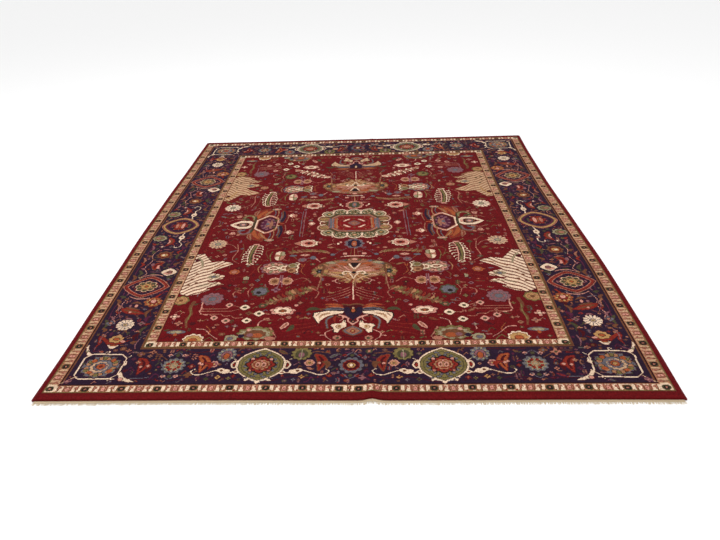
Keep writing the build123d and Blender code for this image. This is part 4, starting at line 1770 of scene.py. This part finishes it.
class RepeatTree(NodeTree):
    """A Geometry Nodes tree with named inputs, that gives realised geometry in one material."""

    def __init__(self, name, sizes):
        tree = bpy.data.node_groups.new(name, "GeometryNodeTree")
        super().__init__(tree)
        tree.interface.new_socket("Geometry", in_out="INPUT", socket_type="NodeSocketGeometry")
        tree.interface.new_socket("Geometry", in_out="OUTPUT", socket_type="NodeSocketGeometry")
        for size in sizes:
            kind = "NodeSocketVector" if size == "Reach" else "NodeSocketFloat"
            tree.interface.new_socket(size, in_out="INPUT", socket_type=kind)
        self.inputs = self.node("NodeGroupInput")

    def end_in(self, geometry, material):
        solid = self.node("GeometryNodeRealizeInstances", {}, {"Geometry": geometry})("Geometry")
        sockets = {"Geometry": solid, "Material": material}
        dressed = self.node("GeometryNodeSetMaterial", {}, sockets)("Geometry")
        self.node("NodeGroupOutput", {}, {"Geometry": dressed})

    def rod(self, curve, radius, sides):
        """A round bar along a curve, closed at its ends."""
        sockets = {"Resolution": sides, "Radius": radius}
        circle = self.node("GeometryNodeCurvePrimitiveCircle", {}, sockets)
        sockets = {"Curve": curve, "Profile Curve": circle("Curve"), "Fill Caps": True}
        return self.node("GeometryNodeCurveToMesh", {}, sockets)("Mesh")

    def points_along(self, spacing):
        """Evenly spaced points along the line that the tree is given."""
        line = self.node("GeometryNodeMeshToCurve", {}, {"Mesh": self.inputs("Geometry")})("Curve")
        sockets = {"Curve": line, "Length": spacing}
        return line, self.node("GeometryNodeCurveToPoints", {"mode": "LENGTH"}, sockets)

    def chance(self, low, high, seed, kind="FLOAT_VECTOR"):
        """A number, or three, drawn afresh for each point."""
        first = 0 if kind == "FLOAT_VECTOR" else 2
        sockets = {first: low, first + 1: high, "Seed": seed}
        return self.node("FunctionNodeRandomValue", {"data_type": kind}, sockets)(first // 2)


def wrapped_edge(material):
    """Yarn wound round the side cord, turn after turn."""
    t = RepeatTree("wrapped_edge", ["Turn spacing", "Yarn radius", "Half width", "Half height"])
    line, points = t.points_along(t.inputs("Turn spacing"))
    circle = t.node("GeometryNodeCurvePrimitiveCircle", {}, {"Resolution": 12, "Radius": 1.0})("Curve")
    across, up = t.inputs("Half width"), t.inputs("Half height")
    oval_size = t.node("ShaderNodeCombineXYZ", {}, {"X": across, "Y": up, "Z": 1.0})("Vector")
    oval = t.node("GeometryNodeTransform", {}, {"Geometry": circle, "Scale": oval_size})("Geometry")
    turn = t.rod(oval, t.inputs("Yarn radius"), 5)
    sockets = {"Points": points("Points"), "Instance": turn, "Rotation": points("Rotation")}
    turns = t.node("GeometryNodeInstanceOnPoints", {}, sockets)("Instances")
    slant = t.chance((-0.05, 0.06, 0.0), (0.05, 0.16, 0.0), 4)
    sockets = {"Instances": turns, "Rotation": slant}
    turns = t.node("GeometryNodeRotateInstances", {}, sockets)("Instances")
    core = t.rod(line, across - t.inputs("Yarn radius") * 0.4, 10)
    t.end_in(t.node("GeometryNodeJoinGeometry", {}, {"Geometry": [turns, core]})("Geometry"), material)
    return t.tree


def cut_fringe(material):
    """Short warp ends, each bent its own way."""
    t = RepeatTree("cut_fringe", ["Strand spacing", "Strand radius", "Reach"])
    _, points = t.points_along(t.inputs("Strand spacing"))
    reach = t.inputs("Reach")
    sockets = {0: reach, 1: (0.5, 0.5, 0.1)}
    middle = t.node("ShaderNodeVectorMath", {"operation": "MULTIPLY"}, sockets)("Vector")
    sockets = {"Resolution": 3, "Start": (0, 0, 0), "Middle": middle, "End": reach}
    strand = t.node("GeometryNodeCurveQuadraticBezier", {}, sockets)("Curve")
    rod = t.rod(strand, t.inputs("Strand radius"), 5)
    bend = t.chance((-0.02, -0.1, -0.3), (0.02, 0.1, 0.3), 7)
    turned = t.node("FunctionNodeEulerToRotation", {}, {"Euler": bend})("Rotation")
    size = t.chance(0.7, 1.05, 8, "FLOAT")
    sockets = {"Points": points("Points"), "Instance": rod, "Rotation": turned, "Scale": size}
    t.end_in(t.node("GeometryNodeInstanceOnPoints", {}, sockets)("Instances"), material)
    return t.tree


def repeated_piece(name, flat, height, tree, sizes, slot, nodes):
    """Runs a Geometry Nodes tree along a line of the flat rug and keeps the mesh that it gives."""
    line = bpy.data.meshes.new(name)
    flat = np.array(flat)
    line.from_pydata(lay(flat[:, 0], flat[:, 1], height), [(k, k + 1) for k in range(len(flat) - 1)], [])
    maker = bpy.data.objects.new(name + "_maker", line)
    bpy.context.scene.collection.objects.link(maker)
    modifier = maker.modifiers.new("repeat", "NODES")
    modifier.node_group = tree
    for socket in tree.interface.items_tree:
        if socket.name in sizes:
            modifier[socket.identifier] = sizes[socket.name]
    seen = maker.evaluated_get(bpy.context.evaluated_depsgraph_get())
    mesh = bpy.data.meshes.new_from_object(seen)
    maker.modifiers.remove(modifier)
    bpy.data.objects.remove(maker)
    mesh.name = name
    mesh.polygons.foreach_set("use_smooth", np.ones(len(mesh.polygons), bool))
    piece = place(name, mesh, slot)
    join_to_body(piece, *nodes)
    return piece


def side_binding(side, tree):
    """The wrapped edge along one side."""
    low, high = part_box(f"side_binding_{side}")
    yarn = 1.4 * MM
    half_width, half_height = (high.x - low.x) / 2 - yarn, (high.z - low.z) / 2 - yarn * 1.9
    middle = (low.x + high.x) / 2
    along = np.linspace(low.y + yarn, high.y - yarn, 160)
    flat = [(middle, y) for y in along]
    sizes = {
        "Turn spacing": 4.6 * MM,
        "Yarn radius": yarn * 1.7,
        "Half width": half_width,
        "Half height": half_height,
    }
    nodes = (f"side_binding_{side}", f"side_cord_{side}")
    height = (low.z + high.z) / 2
    return repeated_piece(f"side_binding_{side}_wraps", flat, height, tree, sizes, "binding_wool", nodes)


def fringe(end, side, tree):
    """The short cut fringe along one end of one part. It starts inside the end weave."""
    node = f"fringe_{end}_{side}"
    low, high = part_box(node)
    outward = 1 if end == "back" else -1
    start = (low.y if end == "back" else high.y) - outward * FRINGE_ROOT
    reach = (high.y if end == "back" else low.y) - start
    flat = [(x, start) for x in np.linspace(low.x, high.x, 120)]
    sizes = {"Strand spacing": 4.4 * MM, "Strand radius": 1.15 * MM, "Reach": (0.0, reach, 0.0)}
    return repeated_piece(f"{node}_strands", flat, 2.0 * MM, tree, sizes, "fringe_cotton", (node,))


# ---------------------------------------------------------------------------------------------------
# Floor, light and camera
# ---------------------------------------------------------------------------------------------------


def lay_floor():
    """A plain pale floor."""
    bpy.ops.mesh.primitive_plane_add(size=80)
    floor = bpy.context.object
    floor.name = "floor"
    f = Finish("pale_floor")
    sockets = {"Base Color": (0.9, 0.9, 0.9, 1), "Roughness": 0.9, "Specular IOR Level": 0.1}
    surface = f.node("ShaderNodeBsdfPrincipled", {}, sockets)("BSDF")
    f.node("ShaderNodeOutputMaterial", {}, {"Surface": surface})
    floor.data.materials.append(f.material)


def soft_light(name, place, turn, size, power):
    lamp = bpy.data.lights.new(name, "AREA")
    lamp.size = size
    lamp.energy = power
    light = bpy.data.objects.new(name, lamp)
    light.location = place
    light.rotation_euler = np.radians(turn)
    bpy.context.scene.collection.objects.link(light)


def light_studio():
    """Even daylight from above, a little stronger from the left."""
    world = bpy.data.worlds.new("studio")
    world.use_nodes = True
    sky = world.node_tree.nodes["Background"]
    sky.inputs["Color"].default_value = (1, 1, 1, 1)
    sky.inputs["Strength"].default_value = 1.0
    bpy.context.scene.world = world
    soft_light("overhead", (-0.8, -0.5, 4.2), (0, -8, 0), 4.0, 110)
    bpy.context.scene.view_settings.view_transform = "Standard"


def set_camera():
    """The view from a standing height, past the front end of the rug."""
    lens = bpy.data.cameras.new("camera")
    lens.lens = 32.355
    lens.shift_x = 0.0289
    camera = bpy.data.objects.new("camera", lens)
    camera.location = (0.100, -3.380, 1.607)
    camera.rotation_euler = np.radians((60.62, 2.28, 2.43))
    bpy.context.scene.collection.objects.link(camera)
    bpy.context.scene.camera = camera


# ---------------------------------------------------------------------------------------------------
# The rug
# ---------------------------------------------------------------------------------------------------


def make_rug():
    cartoon = Cartoon(HALF_X / MM, HALF_Y / MM, COLUMNS, ROWS)
    draw_rug(cartoon)
    chance = np.random.default_rng(11)
    knots = dye_knots(cartoon.yarn, chance)
    pile = pile_pieces(knots, chance, pile_wool())
    back_finish = woven_back()
    backs = {side: ground_weave(side, knots, back_finish) for side in ("left", "right")}
    weave_finish = spun_yarn("end_cotton", WEFT_COTTON, 0.8 * MM, 0.1)
    wraps = wrapped_edge(spun_yarn("binding_yarn", BINDING_WOOL, 0.9 * MM, 0.15))
    strands = cut_fringe(spun_yarn("fringe_cotton", FRINGE_COTTON, 0.7 * MM, 0.1))
    trim = [side_binding(side, wraps) for side in ("left", "right")]
    for end in ("front", "back"):
        for side in ("left", "right"):
            trim.append(end_weave(end, side, weave_finish))
            trim.append(fringe(end, side, strands))
    for side, back in backs.items():
        on_it = [piece for piece in pile + trim if f"_{side}" in piece.name]


lay_floor()
light_studio()
set_camera()
make_rug()
